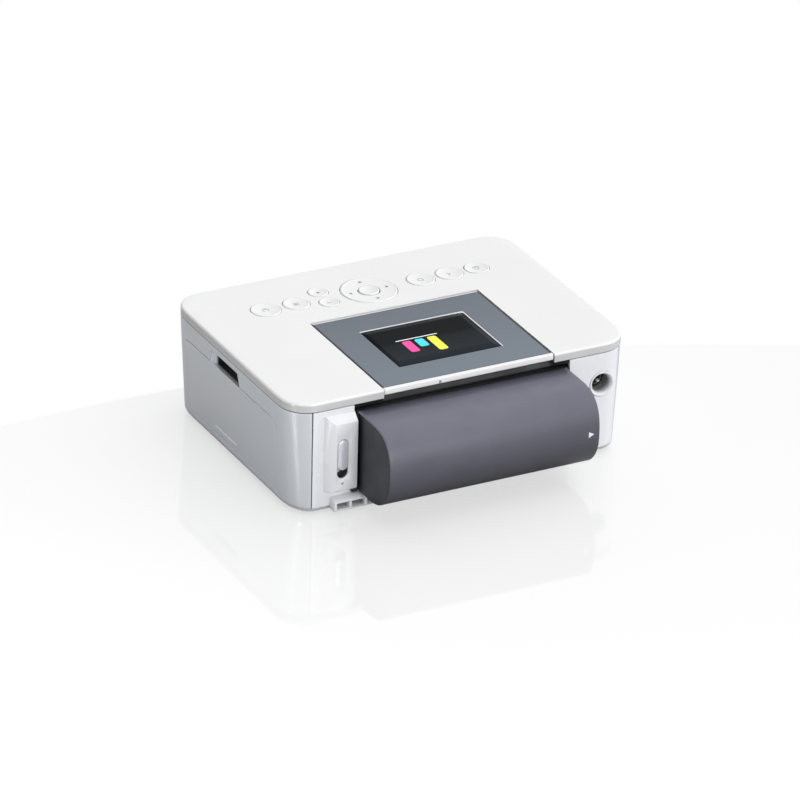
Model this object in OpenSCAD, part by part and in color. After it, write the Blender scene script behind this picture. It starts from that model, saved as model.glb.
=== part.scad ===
// Compact photo printer with a tilting screen and a clip-on battery pack.
// X runs along the width (ink door on +X), Y from the paper slot (-Y) to the battery (+Y), Z up.
// Lengths are millimetres. Every y below is counted from the middle of the printer's own body.

/* [Body] */
// Width of the printer body
body_w = 178; // [170:1:186]
// Depth of the printer body without the battery
body_d = 129; // [126:1:134]
// Height from the table to the top cover
body_h = 57.5; // [56.5:0.5:60]
// Radius of the upright corners, seen from above
corner_r = 14; // [11:1:17]
// Thickness of the moulded walls
wall = 2.2; // [1.8:0.1:2.6]
// How far the side walls draw in towards the base
side_draw = 2.8; // [1:0.2:4]
// Height of the top cover's side band
cover_band = 4.3; // [3.8:0.1:4.6]
// Width of the shadow line between cover and body
groove = 0.5; // [0.3:0.1:0.7]
// Height of the rubber feet below the base plate
foot_h = 1.2; // [1:0.1:1.6]

/* [Screen] */
// Width of the tilting screen unit
screen_w = 88.5; // [84:0.5:92]
// Middle of the screen unit along the width
screen_x = -3.1; // [-4:0.1:0]
// Front edge of the screen unit
screen_front = -12; // [-13:0.5:-10]
// Visible picture width
picture_w = 54.9; // [50:0.1:57]
// Visible picture height
picture_d = 41.2; // [37:0.1:43]

/* [Keys] */
// Pitch line of the row of keys
key_row_y = -33.5; // [-35:0.5:-32]
// Travel of each key
key_travel = 0.4; // [0.2:0.1:0.5]
// Outer radius of the ring key
ring_r = 13.8; // [12:0.2:14]

/* [Ink door] */
// Front edge of the ink door
door_front = -47.9; // [-49:0.1:-46]
// Rear edge of the ink door
door_rear = 45.5; // [44:0.1:46]
// Top edge of the ink door
door_top = 43; // [42:0.1:43.5]
// Gap round the moving panels
panel_gap = 0.35; // [0.3:0.05:0.5]

/* [Battery pack] */
// Length of the battery pack
battery_l = 110; // [104:1:111]
// Middle of the battery pack along the width
battery_x = 0.3; // [-0.4:0.1:0.8]
// How far the battery pack stands out behind the body
battery_out = 33.5; // [30:0.5:36]
// Underside of the battery pack
battery_bottom = 9.3; // [9:0.1:10]
// Top of the battery pack
battery_top = 49.4; // [48.5:0.1:49.6]

/* [Hidden] */
$fn = 64;
tiny = 0.01;

hw = body_w / 2;
hd = body_d / 2;
origin_y = battery_out / 2;           // the whole object is centred on the origin
base_z = foot_h;                      // underside of the base plate
plate_t = 2.2;                        // thickness of the base plate
panel_z = base_z + plate_t;           // lower edge of the body panels
band_z = body_h - cover_band;         // lower edge of the cover's side band
panel_top = band_z - groove;          // upper edge of the body panels
roof_z = body_h - wall;               // underside of the cover's roof
seam_x = 78.2;                        // upright seam between the side and rear panels
left_seam_x = 84;                     // the same seam on the socket's side
rim_t = 1.6;                          // ribs that locate the panels
draw_top = 53;                        // the side walls draw in below this height
draw_span = 50;
FEET = [for (x = [-70, 70], y = [-50, 50]) [x, y]];
foot_r = 6;
SCREWS = [for (x = [-44, 44], y = [-56, 54]) [x, y]];
screw_r = 1.9;

screen_x0 = screen_x - screen_w / 2;
screen_x1 = screen_x + screen_w / 2;
screen_rear = hd - 0.3;
screen_gap = 0.4;
screen_top = body_h - 0.1;
bezel_t = 1.2;
rear_lip = 0.9;                       // white lip of the housing behind the bezel
hinge_y = screen_front + 4;
hinge_z = body_h - 3.2;
hinge_r = 0.9;
tray_floor = 48.9;
picture_rear = 46.2;

bay_x0 = battery_x - battery_l / 2 - 1.4;
bay_x1 = battery_x + battery_l / 2 + 1.4;
bay_y = hd - 5;                       // face of the bay's back wall
bay_bottom = battery_bottom - 0.8;
bay_top = 51.8;

door_hinge_z = 7.2;                   // the ink door turns inside the thickness of the side wall
door_hinge_x = half_w(door_hinge_z) - wall / 2;
door_corner_r = 6;                    // its round upper rear corner
notch_top = 49.9;                     // roof of the finger notch above the door

flap_x = 52.6;                        // half width of the paper flap
flap_z1 = 26;
flap_hinge_y = -hd + wall / 2;        // the flap turns inside the thickness of the front wall
flap_hinge_z = 7.6;
lid_pin_r = 0.6;                      // pins of the ink door and the paper flap
lid_pin_in = 4;                       // their length in the door or flap
lid_pin_out = 3.2;                    // and in the wall beside it
pin_gap = 0.05;                       // clearance round every pin and shaft

// name, x, y, radius of each round key
POWER = [53.7, key_row_y - 0.5, 7.4];
MENU = [37.7, key_row_y - 0.5, 6.6];
ZOOM_IN = [22.7, key_row_y - 7.5, 5];
ZOOM_OUT = [22.7, key_row_y + 4.5, 5];
RING = [-0.3, key_row_y + 0.5, ring_r];
CENTRE = [-0.3, key_row_y + 0.5, 6.2];
EDIT = [-28.3, key_row_y, 7];
BACK = [-43.8, key_row_y, 6.9];
PRINT = [-58.5, key_row_y, 6.2];
ROUND_KEYS = [POWER, MENU, ZOOM_IN, ZOOM_OUT, EDIT, BACK, PRINT];
key_gap = 0.3;
key_flange = 0.55;                    // how far a key reaches under the cover
key_foot_z = 53.4;                    // underside of every key
board_z = 50;                         // underside of the key board

latch_x = 64.4;                       // middle of the latch slot
latch_y = hd + 4.2;                   // face of the latch housing
latch_travel = 4.2;
latch_slot_z0 = 18.9;
latch_slot_z1 = 38.6;
latch_w = 5.2;

jack_x = -73.6;
jack_z = 36.8;
jack_r = 6.4;

// low ledge on the rear with a row of windows between ribs
slot_pitch = 15.6;                    // of a pair of windows
slot_w = 6.6;
slot_web = 1.2;
slot_z0 = 3.1;
slot_h = 3.3;
slot_x1 = 67.3;
ledge_out = 5;

// card reader and USB socket on the front
card_x0 = -63.2;
card_x1 = -37.8;
card_z0 = 36.8;
card_z1 = 47.2;
card_gap = 0.2;
usb_x0 = -21.6;
usb_x1 = -8.4;
usb_z0 = 39.6;
usb_z1 = 45.4;
usb_gap = 0.5;

feed_y = 30;
feed_z = 20;
feed_shaft_r = 2.5;
pinch_z = 27.3;
pinch_shaft_r = 1.5;
drive_teeth = 36;
pinion_teeth = 12;
gear_module = 0.6;
gear_x0 = -64;
gear_x1 = -60;
gear_centres = gear_module * (drive_teeth + pinion_teeth) / 2 + 0.1;
platen_y = -14;
platen_z = 30.4;
platen_shaft_r = 2.5;
motor_r = 9;
spool_z = 33;
supply_y = -35;
take_up_y = 8;
supply_r = 8.5;                       // bores of the ink cassette's two housings
take_up_r = 7.7;
cassette_wall = 1.1;
spool_end_r = 2;
plate_x = 58;                         // inner face of the chassis side plates
plate_s = 1.2;
plate_y0 = -46.8;                     // front edge of the side plates

battery_x0 = battery_x - battery_l / 2;
battery_x1 = battery_x + battery_l / 2;
battery_mid = (battery_top + battery_bottom) / 2;
battery_h = (battery_top - battery_bottom) / 2;
battery_y = hd + 0.4;                 // joint between base and shell
crown = 20.2;                         // depth of the pack's curved back
crown_y = hd + battery_out - crown;
upper_shoulder = 2.8;                 // the larger the power, the squarer the shoulder
lower_shoulder = 2.15;
cap_t = 3;                            // thickness of the pack's end caps
cell_r = 7;
cell_l = 50;
HOOKS = [for (x = [-40, 40], z = [18, 38]) [x, z]];   // the pack's hooks and their pockets in the bay

white = [0.93, 0.93, 0.92];
silver = [0.66, 0.68, 0.71];
pale = [0.86, 0.87, 0.88];
black = [0.1, 0.1, 0.11];
slate = [0.3, 0.31, 0.34];
steel = [0.72, 0.73, 0.75];
green = [0.12, 0.38, 0.24];

// ---- shared shapes ----

module in_frame() translate([0, -origin_y, 0]) children();

module block(x0, x1, y0, y1, z0, z1)
  translate([x0, y0, z0]) cube([x1 - x0, y1 - y0, z1 - z0]);

module rod_x(r, x0, x1, y, z)
  translate([x0, y, z]) rotate([0, 90, 0]) cylinder(r = r, h = x1 - x0);

module rod_y(r, y0, y1, x, z)
  translate([x, y1, z]) rotate([90, 0, 0]) cylinder(r = r, h = y1 - y0);

module disc(r, x, y, z0, z1)
  translate([x, y, z0]) cylinder(r = r, h = z1 - z0);

// profile in Y and Z, carried along X
module along_x(x0, x1)
  translate([x0, 0, 0]) rotate([90, 0, 90]) linear_extrude(x1 - x0) children();

// profile in X and Z, carried along Y
module along_y(y0, y1)
  translate([0, y1, 0]) rotate([90, 0, 0]) linear_extrude(y1 - y0) children();

// upright block with four round corners
module round_block(w, d, r, z0, z1) {
  block(-w / 2, w / 2, -d / 2 + r, d / 2 - r, z0, z1);
  block(-w / 2 + r, w / 2 - r, -d / 2, d / 2, z0, z1);
  for (sx = [-1, 1], sy = [-1, 1]) disc(r, sx * (w / 2 - r), sy * (d / 2 - r), z0, z1);
}

// half width of the body at height z: full width at the cover, drawn in below
function half_w(z) = hw - side_draw * pow(max(0, (draw_top - z) / draw_span), 1.1);

// points of the body seen from the front, shrunk by i all round
function front_outline(i) =
  let (foot = 3, side = [for (z = [draw_top, 46, 38, 30, 22, 14, 7.5]) [half_w(z) - i, z]],
       arc = [for (a = [0:22.5:90]) [half_w(5) - i - foot + foot * cos(a), base_z + foot - foot * sin(a)]],
       right = concat([[hw - i, body_h]], side, arc))
  concat(right, [for (k = [len(right) - 1:-1:0]) [-right[k][0], right[k][1]]]);

function depth_outline(i) =
  let (foot = 2.4, arc = [for (a = [0:22.5:90]) [hd - i - foot + foot * cos(a), base_z + foot - foot * sin(a)]],
       rear = concat([[hd - i, body_h]], arc))
  concat(rear, [for (k = [len(rear) - 1:-1:0]) [-rear[k][0], rear[k][1]]]);

// the printer's outer form, shrunk by i: round corners, drawn-in sides and a rounded foot
module body_form(i, z0, z1) intersection() {
  round_block(body_w - 2 * i, body_d - 2 * i, corner_r - i, z0, z1);
  along_y(-hd - 1, hd + 1) polygon(front_outline(i));
  along_x(-hw - 1, hw + 1) polygon(depth_outline(i));
}

module skin(z0, z1) difference() {
  body_form(0, z0, z1);
  body_form(wall, z0 - 1, z1 + 1);
}

module rim(z0, z1) difference() {
  body_form(wall, z0, z1);
  body_form(wall + rim_t, z0 - 1, z1 + 1);
}

// ---- casing ----

// the cover's form: its upper edge is rolled over
module cover_form(i) intersection() {
  body_form(i, band_z, body_h - i);
  along_y(-hd, hd) polygon(rolled(hw - i, body_h - i));
  along_x(-hw, hw) polygon(rolled(hd - i, body_h - i));
}

function rolled(h, top) =
  let (r = 1.6, right = concat([[h, band_z - 1]], [for (a = [0:15:90]) [h - r + r * cos(a), top - r + r * sin(a)]]))
  concat(right, [for (k = [len(right) - 1:-1:0]) [-right[k][0], right[k][1]]]);

module key_holes() {
  for (k = ROUND_KEYS) disc(k[2] + key_gap, k[0], k[1], roof_z - 1, body_h + 1);
  disc(RING[2] + key_gap, RING[0], RING[1], roof_z - 1, body_h + 1);
}

module top_cover() in_frame() color(white) difference() {
  union() {
    difference() {
      cover_form(0);
      body_form(wall, band_z - 1, roof_z);
    }
    rim(50.4, roof_z + 0.2);
    for (x = [-63, -12, 14.5, 64], y = [-47, -18.5])
      if (!(x > 10 && x < 20 && y > -20)) disc(1.8, x, y, board_z + 1.6, roof_z + 0.2);
  }
  block(screen_x0 - screen_gap, screen_x1 + screen_gap, screen_front - 0.6, hd + 1, 40, body_h + 1);
  block(bay_x0 - 2, bay_x1 + 2, hd - 7, hd - wall + tiny, 40, band_z);
  key_holes();
}

// the ink door's outline grown by g: its upper rear corner is round
module door_hole(g) {
  z0 = door_hinge_z - wall / 2 - g;
  block(70, hw + 5, door_front - g, door_rear + g, z0, door_top - door_corner_r);
  block(70, hw + 5, door_front - g, door_rear + g - door_corner_r, z0, door_top + g);
  rod_x(door_corner_r + g, 70, hw + 5, door_rear - door_corner_r, door_top - door_corner_r);
}

module finger_notch()
  along_x(hw - 9, hw + 2) polygon([[-23, door_top - 2], [-21, notch_top], [7, notch_top], [9.4, door_top - 2]]);

// box behind the finger notch, open towards the back of the door's upper edge
module finger_pocket() difference() {
  block(hw - 9.4, hw - wall + 0.1, -24, 11, door_top - 4.2, notch_top + 0.5);
  block(hw - 8.6, hw + 1, -23.2, 10.2, 30, notch_top);
  block(hw - 3.5, hw + 1, -25, 12, 30, door_top + panel_gap);
}

module right_side_panel() in_frame() color(silver) union() {
  difference() {
    intersection() {
      skin(panel_z, panel_top);
      block(seam_x, hw + 5, -hd - 1, hd + 1, 0, body_h);
    }
    door_hole(panel_gap);
    finger_notch();
    rod_y(lid_pin_r + pin_gap, door_front - lid_pin_out - 0.2, door_rear + lid_pin_out + 0.2, door_hinge_x, door_hinge_z);
  }
  finger_pocket();
}

module left_side_panel() in_frame() color(silver) intersection() {
  skin(panel_z, panel_top);
  block(-hw - 5, -left_seam_x, -hd - 1, hd + 1, 0, body_h);
}

module rear_panel() in_frame() color(pale) difference() {
  intersection() {
    skin(panel_z, panel_top);
    block(-left_seam_x + groove, seam_x - groove, 0, hd + 1, 0, body_h);
  }
  block(bay_x0, bay_x1, hd - 6, hd + 1, bay_bottom, body_h);
  rod_y(jack_r + pin_gap, hd - 6, hd + 1, jack_x, jack_z);
  block(latch_x - 6, latch_x + 5.6, hd - 6, hd + 1, 15, 44);
  rear_slots();
}

module front_panel() in_frame() color(white) difference() {
  intersection() {
    skin(panel_z, panel_top);
    block(-left_seam_x + groove, seam_x - groove, -hd - 1, 0, 0, body_h);
  }
  block(-flap_x - panel_gap, flap_x + panel_gap, -hd - 1, -hd + 6, flap_hinge_z - wall / 2 - panel_gap,
        flap_z1 + panel_gap);
  rod_x(lid_pin_r + pin_gap, -flap_x - lid_pin_out - 0.2, flap_x + lid_pin_out + 0.2, flap_hinge_y, flap_hinge_z);
  block(card_x0 - card_gap, card_x1 + card_gap, -hd - 1, -hd + 6, card_z0 - card_gap, card_z1 + card_gap);
  block(usb_x0 - usb_gap, usb_x1 + usb_gap, -hd - 1, -hd + 6, usb_z0 - usb_gap, usb_z1 + usb_gap);
}

module base_plate() in_frame() color(white) difference() {
  union() {
    body_form(0, base_z, panel_z);
    difference() {
      rim(panel_z - 0.2, 7);
      block(70, hw, door_front - 3, door_rear + 3, panel_z, 10);      // room for the ink door
      block(-60, 60, -hd, -hd + 9, panel_z, 10);                       // room for the paper flap
    }
  }
  for (f = FEET) disc(foot_r + 0.1, f[0], f[1], 0, base_z + 0.8);
  for (k = [0:5]) block(-62 + 8 * k, -58 + 8 * k, 20, 46, 0, panel_z + 3);   // air slots
  for (s = SCREWS) disc(screw_r + 0.3, s[0], s[1], 0, base_z + 1.2);
}

module feet() in_frame() color(black)
  for (f = FEET) translate([f[0], f[1], 0]) rotate_extrude()
    polygon([[0, 0], [foot_r - 0.8, 0], [foot_r, 0.8], [foot_r, base_z + 0.8], [0, base_z + 0.8]]);

module case_screws() in_frame() color(steel)
  for (s = SCREWS) translate([s[0], s[1], 0]) difference() {
    disc(screw_r, 0, 0, base_z + 0.2, base_z + 1.2);
    for (a = [0, 90]) rotate([0, 0, a]) block(-0.3, 0.3, -1.3, 1.3, base_z, base_z + 0.7);
  }

// ---- rear paper slot ----

module rear_slots()
  for (k = [0:7], s = [0, 1])
    translate([slot_x1 - k * slot_pitch - s * (slot_w + slot_web) - slot_w, hd - 6, slot_z0])
      cube([slot_w, 14, slot_h]);

module rear_paper_slot() in_frame() color(white) difference() {
  along_x(slot_x1 + slot_web - 8 * slot_pitch, slot_x1 + slot_web)
    polygon([[hd, slot_z0 - 0.9], [hd + ledge_out - 0.5, slot_z0 - 0.9], [hd + ledge_out, slot_z0 - 0.4],
             [hd + ledge_out, slot_z0 + slot_h + 0.5], [hd + ledge_out - 0.8, slot_z0 + slot_h + 1.2],
             [hd, slot_z0 + slot_h + 1.7]]);
  rear_slots();
}

// ---- battery latch ----

module latch_slot(g)
  for (z = [latch_slot_z0 + latch_w / 2, latch_slot_z1 - latch_w / 2])
    rod_y(latch_w / 2 + g, hd - 2, latch_y + 3, latch_x, z);

module latch_housing() in_frame() color(pale) difference() {
  intersection() {
    translate([0, 0, 11.8]) linear_extrude(38.4)
      polygon([[latch_x - 5.9, hd - 6], [latch_x - 5.9, hd], [bay_x1 + 0.1, hd], [bay_x1 + 0.1, latch_y],
               [latch_x + 3.7, latch_y], [latch_x + 7.9, hd], [latch_x + 5.3, hd], [latch_x + 5.3, hd - 6]]);
    along_x(50, 80)
      polygon([[hd - 6, 43.8], [hd, 43.8], [hd, 50], [hd + 0.6, 50], [latch_y, 46.6], [latch_y, 12.6],
               [latch_y - 0.8, 11.8], [hd, 11.8], [hd, 15.2], [hd - 6, 15.2]]);
  }
  latch_slot(0.2);
  block(latch_x - latch_w / 2 - 0.2, latch_x + latch_w / 2 + 0.2, hd - 2, latch_y + 3,
        latch_slot_z0 + latch_w / 2, latch_slot_z1 - latch_w / 2);
}

module latch_slider() in_frame() color(silver) {
  z1 = latch_slot_z1 - 0.1;
  z0 = latch_slot_z0 + latch_travel + 0.1;
  rod_y(latch_w / 2, hd - 1.6, latch_y + 0.5, latch_x, z0 + latch_w / 2);
  rod_y(latch_w / 2, hd - 1.6, latch_y + 0.5, latch_x, z1 - latch_w / 2);
  block(latch_x - latch_w / 2, latch_x + latch_w / 2, hd - 1.6, latch_y + 0.5, z0 + latch_w / 2, z1 - latch_w / 2);
}

// ---- battery bay and pack ----

module battery_bay() in_frame() color(black) difference() {
  union() {
    block(bay_x0 - 1.2, bay_x1 + 1.2, bay_y - 1.4, bay_y, bay_bottom - 1.4, bay_top);
    for (x = [bay_x0 - 1.2, bay_x1]) block(x, x + 1.2, bay_y - 0.2, hd - wall, bay_bottom - 1.4, bay_top);
    block(bay_x0 - 1.2, bay_x1 + 1.2, bay_y - 0.2, hd - wall, bay_bottom - 1.4, bay_bottom);
  }
  for (h = HOOKS) block(h[0] - 5, h[0] + 5, bay_y - 3, bay_y + 0.1, h[1] - 2.2, h[1] + 2.2);
}

module battery_terminals() in_frame() color(steel)
  for (k = [0:4]) block(14 + 3 * k, 15 + 3 * k, bay_y, bay_y + 1.6, 24, 31);

// D-shaped section, shrunk by i: full upper shoulder, softer lower one
function battery_outline(i) =
  let (a = crown - i, b = battery_h - i)
  concat([[battery_y, battery_top - i]],
    [for (t = [90:-7.5:-90])
      let (n = t > 0 ? upper_shoulder : lower_shoulder)
      [crown_y + a * pow(cos(t), 2 / n), battery_mid + b * sign(t) * pow(abs(sin(t)), 2 / n)]],
    [[battery_y, battery_bottom + i]]);

module battery_shell() in_frame() color(slate) difference() {
  along_x(battery_x0 + cap_t, battery_x1 - cap_t) polygon(battery_outline(0));
  along_x(battery_x0, battery_x1) translate([-tiny, 0]) polygon(battery_outline(2));
}

module battery_cap(x0, x1, edge) {
  along_x(min(x0, edge), max(x0, edge)) polygon(battery_outline(0));
  along_x(min(edge, x1), max(edge, x1)) polygon(battery_outline(0.7));
}

module battery_cap_left() in_frame() color(slate)
  battery_cap(battery_x0 + cap_t, battery_x0, battery_x0 + 0.7);

module battery_cap_right() in_frame() color([0.22, 0.23, 0.26])
  battery_cap(battery_x1 - cap_t, battery_x1, battery_x1 - 0.7);

module battery_base() in_frame() color(black) difference() {
  union() {
    block(battery_x0, battery_x1, hd - 3.6, battery_y, battery_bottom, battery_top);
    block(battery_x1 - 1, bay_x1 + 1.6, hd + 0.2, battery_y, battery_bottom - 0.3, 11.3);   // locating tongue
    block(battery_x1 + 0.1, bay_x1 + 1.6, hd + 0.2, hd + 1.8, battery_bottom - 0.3, 11.3);
    for (h = HOOKS) block(h[0] - 4, h[0] + 4, hd - 7.6, hd - 3.4, h[1] - 1.4, h[1] + 1.4);
  }
  block(12, 30, hd - 4, hd - 2.6, 22.6, 32.4);
  block(battery_x0 + 4, battery_x1 - 4, hd - 2, battery_y + 1, battery_bottom + 3, battery_top - 3);
}

module battery_cells() in_frame() color([0.2, 0.42, 0.62])
  for (x = [battery_x - 50.6, battery_x + 0.6], c = [[72.6, 39], [72.6, 24.4], [87, 31.6]])
    rod_x(cell_r, x, x + cell_l, c[0], c[1]);

// ---- power socket ----

module dc_socket() in_frame() color(black)
  translate([jack_x, hd - 14, jack_z]) rotate([-90, 0, 0]) rotate_extrude()
    polygon([[0, 0], [5.4, 0], [5.4, 10.5], [jack_r, 10.5], [jack_r, 14.2], [jack_r - 0.5, 14.5],
             [5.7, 14.5], [4.9, 13.6], [4.3, 12.4], [4.3, 3], [0, 3]]);

module dc_socket_pin() in_frame() color(steel) {
  rod_y(1, hd - 11, hd - 4, jack_x, jack_z);
  translate([jack_x, hd - 3.4, jack_z]) rotate([90, 0, 0]) cylinder(r1 = 0.5, r2 = 1, h = 0.6);
}

// ---- screen: tray in the cover and the unit that tilts out of it ----

module lcd_tray() in_frame() color(white) difference() {
  block(screen_x0 - screen_gap - 1.6, screen_x1 + screen_gap + 1.6, screen_front - 2, bay_y - 1.4, tray_floor - 1.2,
        roof_z);
  block(screen_x0 - screen_gap, screen_x1 + screen_gap, screen_front - 0.6, hd, tray_floor, body_h);
  block(-20, 20, 0, 12, tray_floor - 2, tray_floor + 1);                                     // lead slot
  rod_x(hinge_r + pin_gap, screen_x0 - 4, screen_x1 + 4, hinge_y, hinge_z);
}

module screen_profile() polygon([
  [screen_front, screen_top - bezel_t], [screen_front, screen_top - 2.4], [hinge_y - 0.5, 51.6], [0, 50.6], [54, 50.6],
  [screen_rear - 2.4, 54.2], [screen_rear, 54.2], [screen_rear, screen_top - 0.4], [screen_rear - 0.4, screen_top],
  [screen_rear - rear_lip, screen_top], [screen_rear - rear_lip, screen_top - bezel_t]
]);

module lcd_housing() in_frame() color(white) difference() {
  along_x(screen_x0, screen_x1) screen_profile();
  block(screen_x - picture_w / 2 - 4, screen_x + picture_w / 2 + 4, picture_rear - picture_d - 4, picture_rear + 4, 52.2, 60);
  for (s = [screen_x0 - 1, screen_x1 - 7]) rod_x(hinge_r, s, s + 8, hinge_y, hinge_z);
  block(screen_x + 14.7, screen_x + 16.1, screen_rear - 0.5, screen_rear + 1, 55, 60);        // moulding notch
}

module lcd_bezel() in_frame() color(slate) difference() {
  along_x(screen_x0, screen_x1)
    polygon([[screen_front, screen_top - bezel_t], [screen_front + 1.2, screen_top],
             [screen_rear - rear_lip - 0.1, screen_top], [screen_rear - rear_lip - 0.1, screen_top - bezel_t]]);
  block(screen_x - picture_w / 2, screen_x + picture_w / 2, picture_rear - picture_d, picture_rear, 50, 60);
}

module lcd_panel() in_frame() color(black)
  block(screen_x - picture_w / 2 - 3, screen_x + picture_w / 2 + 3, picture_rear - picture_d - 3, picture_rear + 3, 52.2,
        screen_top - bezel_t);

module lcd_window() in_frame() color([0.05, 0.05, 0.07])
  block(screen_x - picture_w / 2 + 0.1, screen_x + picture_w / 2 - 0.1, picture_rear - picture_d + 0.1, picture_rear - 0.1,
        screen_top - bezel_t, screen_top - 0.5);

module lcd_hinge_pins() in_frame() color(steel)
  for (x = [screen_x0 - 1.8, screen_x1 - 6]) rod_x(hinge_r, x, x + 7.8, hinge_y, hinge_z);

// ---- keys: a dished cap with a raised rim, and a flange that keeps it under the cover ----

module key_cap(k) in_frame() color(white) translate([k[0], k[1], 0]) rotate_extrude() polygon([
  [0, key_foot_z], [k[2] + key_flange, key_foot_z], [k[2] + key_flange, key_foot_z + 1], [k[2], key_foot_z + 1],
  [k[2], body_h + 0.1],
  [k[2] - 0.3, body_h + 0.35], [k[2] - 1, body_h + 0.35], [k[2] - 1.5, body_h + 0.05], [k[2] * 0.5, body_h - 0.1],
  [0, body_h - 0.15]
]);

module power_key() key_cap(POWER);
module menu_key() key_cap(MENU);
module zoom_in_key() key_cap(ZOOM_IN);
module zoom_out_key() key_cap(ZOOM_OUT);
module centre_key() key_cap([CENTRE[0], CENTRE[1], CENTRE[2] - 1.2]);
module edit_key() key_cap(EDIT);
module back_key() key_cap(BACK);
module print_key() key_cap(PRINT);

module ring_key() in_frame() color(white) translate([RING[0], RING[1], 0]) rotate_extrude() polygon([
  [CENTRE[2] + 0.7, key_foot_z], [ring_r + key_flange, key_foot_z], [ring_r + key_flange, key_foot_z + 1],
  [ring_r, key_foot_z + 1],
  [ring_r, body_h + 0.1], [ring_r - 0.4, body_h + 0.4], [ring_r - 1.2, body_h + 0.4], [ring_r - 1.8, body_h + 0.1],
  [CENTRE[2], body_h], [CENTRE[2] - 0.4, body_h - 0.4], [CENTRE[2] - 0.4, key_foot_z + 1.6],
  [CENTRE[2] + 0.7, key_foot_z + 1.6]
]);

module key_board() in_frame() color(green) {
  block(-67, 67, -50, -16, board_z, board_z + 1.6);
  for (k = concat(ROUND_KEYS, [CENTRE])) disc(2, k[0], k[1], board_z + 1.5, key_foot_z - key_travel - 0.1);
  for (a = [0:90:270])
    disc(1.2, RING[0] + 10.4 * cos(a), RING[1] + 10.4 * sin(a), board_z + 1.5, key_foot_z - key_travel - 0.1);
}

// ---- ink door ----

module ink_door() in_frame() color(silver) difference() {
  union() {
    intersection() {
      skin(door_hinge_z, door_top + 1);
      door_hole(0);
    }
    rod_y(wall / 2, door_front, door_rear, door_hinge_x, door_hinge_z);
    block(84, hw - wall + 0.2, -12, -6, door_top - 4.4, door_top - 1.6);                       // catch
    along_y(-19.5, 3.5) polygon([[half_w(10) - 0.4, 9.2], [half_w(10) + 0.35, 9.6], [half_w(10) + 0.4, 10.6],
                                 [half_w(10) - 0.4, 11]]);                                     // raised bar
  }
  for (y = [door_front - 1, door_rear - lid_pin_in])
    rod_y(lid_pin_r, y, y + lid_pin_in + 1, door_hinge_x, door_hinge_z);
}

module ink_door_pins() in_frame() color(steel)
  for (y = [door_front - lid_pin_out, door_rear - lid_pin_in])
    rod_y(lid_pin_r, y, y + lid_pin_in + lid_pin_out, door_hinge_x, door_hinge_z);

// ---- paper flap ----

module paper_flap() in_frame() color(white) difference() {
  union() {
    block(-flap_x, flap_x, -hd, -hd + wall, flap_hinge_z, flap_z1);
    rod_x(wall / 2, -flap_x, flap_x, flap_hinge_y, flap_hinge_z);
    for (x = [-40:20:40]) block(x - 0.6, x + 0.6, -hd + wall - 0.2, -hd + wall + 1, flap_hinge_z + 2, flap_z1 - 2);
  }
  // thumb scoop
  translate([0, -hd - 8, flap_z1]) rotate([0, 90, 0]) cylinder(r = 9, h = 26, center = true);
  for (x = [-flap_x - 1, flap_x - lid_pin_in]) rod_x(lid_pin_r, x, x + lid_pin_in + 1, flap_hinge_y, flap_hinge_z);
}

module paper_flap_pins() in_frame() color(steel)
  for (x = [-flap_x - lid_pin_out, flap_x - lid_pin_in])
    rod_x(lid_pin_r, x, x + lid_pin_in + lid_pin_out, flap_hinge_y, flap_hinge_z);

// ---- sockets on the front ----

module card_reader() in_frame() color(black) difference() {
  block(card_x0, card_x1, -hd + 0.8, -47.2, card_z0, card_z1);
  block(card_x0 + 0.5, card_x1 - 0.5, -hd, -49, 43.6, 45.8);
  block(card_x0 + 1.7, card_x1 - 1.7, -hd, -49, 38.6, 40.8);
}

module usb_socket() in_frame() color(steel) {
  difference() {
    block(usb_x0, usb_x1, -hd + 0.6, -50, usb_z0, usb_z1);
    block(usb_x0 + 0.5, usb_x1 - 0.5, -hd, -52, usb_z0 + 0.5, usb_z1 - 0.5);
  }
  block(usb_x0 + 1.2, usb_x1 - 1.2, -hd + 1.6, -51, 42.8, 44.2);
}

// ---- print mechanism ----

module chassis() in_frame() color(steel) difference() {
  union() {
    for (x = [-plate_x - plate_s, plate_x]) block(x, x + plate_s, plate_y0, 54, panel_z, 46);
    block(-plate_x - 0.2, plate_x + 0.2, 46, 54, panel_z, panel_z + plate_s);
    block(-plate_x - 0.2, plate_x + 0.2, 52.8, 54, panel_z, 40);
  }
  // the ink cassette's way in: two round housings and the frame between them
  for (y = [[plate_y0 - 1, platen_y - 4], [platen_y + 4, door_rear - 2]])
    block(plate_x - 1, plate_x + 3, y[0], y[1], spool_z - 11.4, 47);
  block(plate_x - 1, plate_x + 3, platen_y - 5, platen_y + 5, platen_z + 3.8, 47);
  for (x = [-plate_x - 2, plate_x - 1]) {
    rod_x(feed_shaft_r + pin_gap, x, x + 3, feed_y, feed_z);
    rod_x(pinch_shaft_r + pin_gap, x, x + 3, feed_y, pinch_z);
    rod_x(platen_shaft_r + pin_gap, x, x + 3, platen_y, platen_z);
  }
  rod_x(4, -plate_x - 2, -plate_x + 1, feed_y + gear_centres, feed_z);
}

module feed_roller() in_frame() color(steel) {
  rod_x(3.5, -56, 56, feed_y, feed_z);
  rod_x(feed_shaft_r, -66, 60.4, feed_y, feed_z);
}

module pinch_roller() in_frame() color(black) {
  rod_x(3.6, -52, 52, feed_y, pinch_z);
  rod_x(pinch_shaft_r, -59.6, 60.4, feed_y, pinch_z);
}

module platen_roller() in_frame() color(black) {
  rod_x(5.4, -53, 53, platen_y, platen_z);
  rod_x(platen_shaft_r, -60.4, 60.4, platen_y, platen_z);
}

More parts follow.
